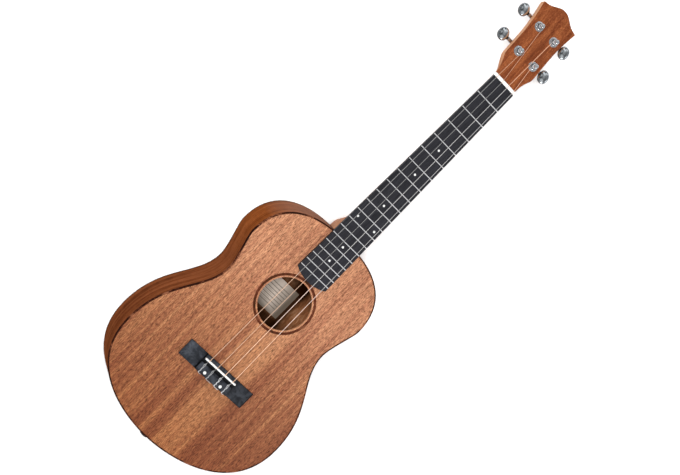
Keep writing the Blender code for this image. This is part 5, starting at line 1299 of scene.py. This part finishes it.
def build_tuners():
    shafts = {s: worm_shaft(s) for s in (-1, 1)}
    posts = {s: post(s) for s in (-1, 1)}
    shells = {s: housing(s) for s in (-1, 1)}
    washer = bushing()
    back = -HEAD_T - 0.08
    lug_screw = crossed_screw(2.15, back - 2.5, back - 3.7, 0.95, back + 7.0)
    for i, (tag, side, v) in enumerate(TAGS):
        piece("gear_housing_" + tag, moved(shells[side], side * POST_X, v, 0), M["cast"], from_head,
              replaces=("housing_" + tag,))
        piece("lug_screw_" + tag, moved(lug_screw, side * POST_X, v - 9.4, 0), M["chrome"], from_head)
        piece("string_post_" + tag, moved(posts[side], side * POST_X, v, 0), M["chrome"], from_head,
              body="string_post_" + tag, replaces=("post_" + tag,))
        piece("button_and_worm_" + tag, moved(shafts[side], side * POST_X, v + WORM_OFFSET, WORM_W), M["knob"],
              from_head, body="button_" + tag, replaces=("worm_shaft_" + tag,))
        piece("hex_bushing_" + tag, moved(washer, side * POST_X, v, 0), M["chrome"], from_head,
              replaces=("bushing_" + tag,))
        # the string's turns round the waist of its post
        _, r, is_wound = STRINGS[i]
        core, turns = 2.22, 2.2 / (2 * r + 0.04) - 0.35
        pts = []
        steps = int(turns * 30)
        for k in range(steps + 1):
            t = k / steps
            a = 2 * math.pi * turns * t * side
            w = 6.25 + (2 * r + 0.03) * turns * (0.5 - t)
            pts.append(((core + r) * math.cos(a), (core + r) * math.sin(a), w))
        piece("winding_" + tag, moved(tube(pts, r * 0.96, 10), side * POST_X, v, 0),
              M["wound_coil"] if is_wound else M["nylon_coil"], from_head, body="string_post_" + tag, smooth=60)


build_body()
build_neck()
build_fretwork()
build_bridge()
build_strings()
build_knots()
build_tuners()

# ---------------------------------------------------------------- floor, light and camera
bpy.context.scene.view_settings.view_transform = "Standard"
floor_me = bpy.data.meshes.new("floor")
fb = bmesh.new()
bmesh.ops.create_grid(fb, x_segments=1, y_segments=1, size=40.0)
fb.to_mesh(floor_me)
fb.free()
floor = bpy.data.objects.new("floor", floor_me)
bpy.context.scene.collection.objects.link(floor)
floor.location = (0, 0, -0.0004)
fm = Mat("pale_floor")
fm.p.inputs["Base Color"].default_value = (0.93, 0.93, 0.93, 1)
fm.p.inputs["Roughness"].default_value = 0.9
fm.p.inputs["Specular IOR Level"].default_value = 0.0
floor_me.materials.append(fm.m)

world = bpy.data.worlds.new("studio")
bpy.context.scene.world = world
world.use_nodes = True
wt = world.node_tree
bg = wt.nodes["Background"]
bg.inputs["Color"].default_value = (1.0, 1.0, 1.0, 1)
up = wt.nodes.new("ShaderNodeSeparateXYZ")
wt.links.new(wt.nodes.new("ShaderNodeTexCoord").outputs["Generated"], up.inputs[0])
dome = wt.nodes.new("ShaderNodeValToRGB")          # a soft dome: a bright ring at mid height, dark at the horizon
for k, (pos, value) in enumerate(((0.0, 0.05), (0.22, 0.10), (0.36, 0.70), (0.56, 0.80), (0.68, 0.42), (1.0, 0.32))):
    if k >= 2:
        dome.color_ramp.elements.new(pos)
    dome.color_ramp.elements[k].position = pos
    dome.color_ramp.elements[k].color = (value, value, value, 1.0)
wt.links.new(up.outputs["Z"], dome.inputs["Fac"])
side = wt.nodes.new("ShaderNodeMapRange")
for k, v in zip(("From Min", "From Max", "To Min", "To Max"), (-0.7, 0.7, 0.50, 1.35)):
    side.inputs[k].default_value = v
wt.links.new(up.outputs["X"], side.inputs["Value"])
both = wt.nodes.new("ShaderNodeMath")
both.operation = "MULTIPLY"
wt.links.new(dome.outputs["Color"], both.inputs[0])
wt.links.new(side.outputs["Result"], both.inputs[1])
panels = wt.nodes.new("ShaderNodeTexNoise")
panels.inputs["Scale"].default_value = 2.6
panels.inputs["Detail"].default_value = 0.0
wt.links.new(up.inputs[0].links[0].from_socket, panels.inputs["Vector"])
panel = wt.nodes.new("ShaderNodeMapRange")
for k, v in zip(("From Min", "From Max", "To Min", "To Max"), (0.42, 0.56, 0.25, 1.45)):
    panel.inputs[k].default_value = v
wt.links.new(panels.outputs["Fac"], panel.inputs["Value"])
shaded = wt.nodes.new("ShaderNodeMath")
shaded.operation = "MULTIPLY"
wt.links.new(both.outputs[0], shaded.inputs[0])
wt.links.new(panel.outputs["Result"], shaded.inputs[1])
wt.links.new(shaded.outputs[0], bg.inputs["Strength"])


def area(name, location, target, size, power, size_y=None, mirrored=True):
    d = bpy.data.lights.new(name, "AREA")
    d.shape = "RECTANGLE"
    d.size, d.size_y = size, size_y or size
    d.energy = power
    o = bpy.data.objects.new(name, d)
    o.visible_glossy = mirrored                 # whether polished metal shows the lamp itself
    bpy.context.scene.collection.objects.link(o)
    o.location = location
    o.rotation_euler = (Vector(target) - Vector(location)).to_track_quat("-Z", "Y").to_euler()
    return o


area("key", (-0.95, 0.05, 2.85), (0.0, 0.0, 0.0), 1.1, 96, mirrored=False)
area("fill_right", (1.7, -1.0, 2.0), (0, -0.1, 0.05), 0.8, 26)
area("fill_head", (-1.1, 1.8, 1.8), (0, 0.1, 0.05), 0.8, 24, mirrored=False)


def camera_basis(rx, ry, rz):
    cx, sx, cy, sy, cz, sz = (math.cos(rx), math.sin(rx), math.cos(ry), math.sin(ry), math.cos(rz), math.sin(rz))
    X = Matrix(((1, 0, 0), (0, cx, -sx), (0, sx, cx)))
    Y = Matrix(((cy, 0, sy), (0, 1, 0), (-sy, 0, cy)))
    Z = Matrix(((cz, -sz, 0), (sz, cz, 0), (0, 0, 1)))
    return (Z @ X @ Y).transposed()


cam_data = bpy.data.cameras.new("camera")
cam = bpy.data.objects.new("camera", cam_data)
bpy.context.scene.collection.objects.link(cam)
cam.matrix_world = Matrix.Translation(P(-627.87, 244.68, 1881.62 + TOP_Z)) @ camera_basis(
    math.radians(0.5537), math.radians(18.1699), math.radians(-44.8145)).to_4x4()
cam_data.sensor_width = 36.0
cam_data.lens = 82.568
cam_data.clip_start, cam_data.clip_end = 0.05, 30.0
bpy.context.scene.camera = cam
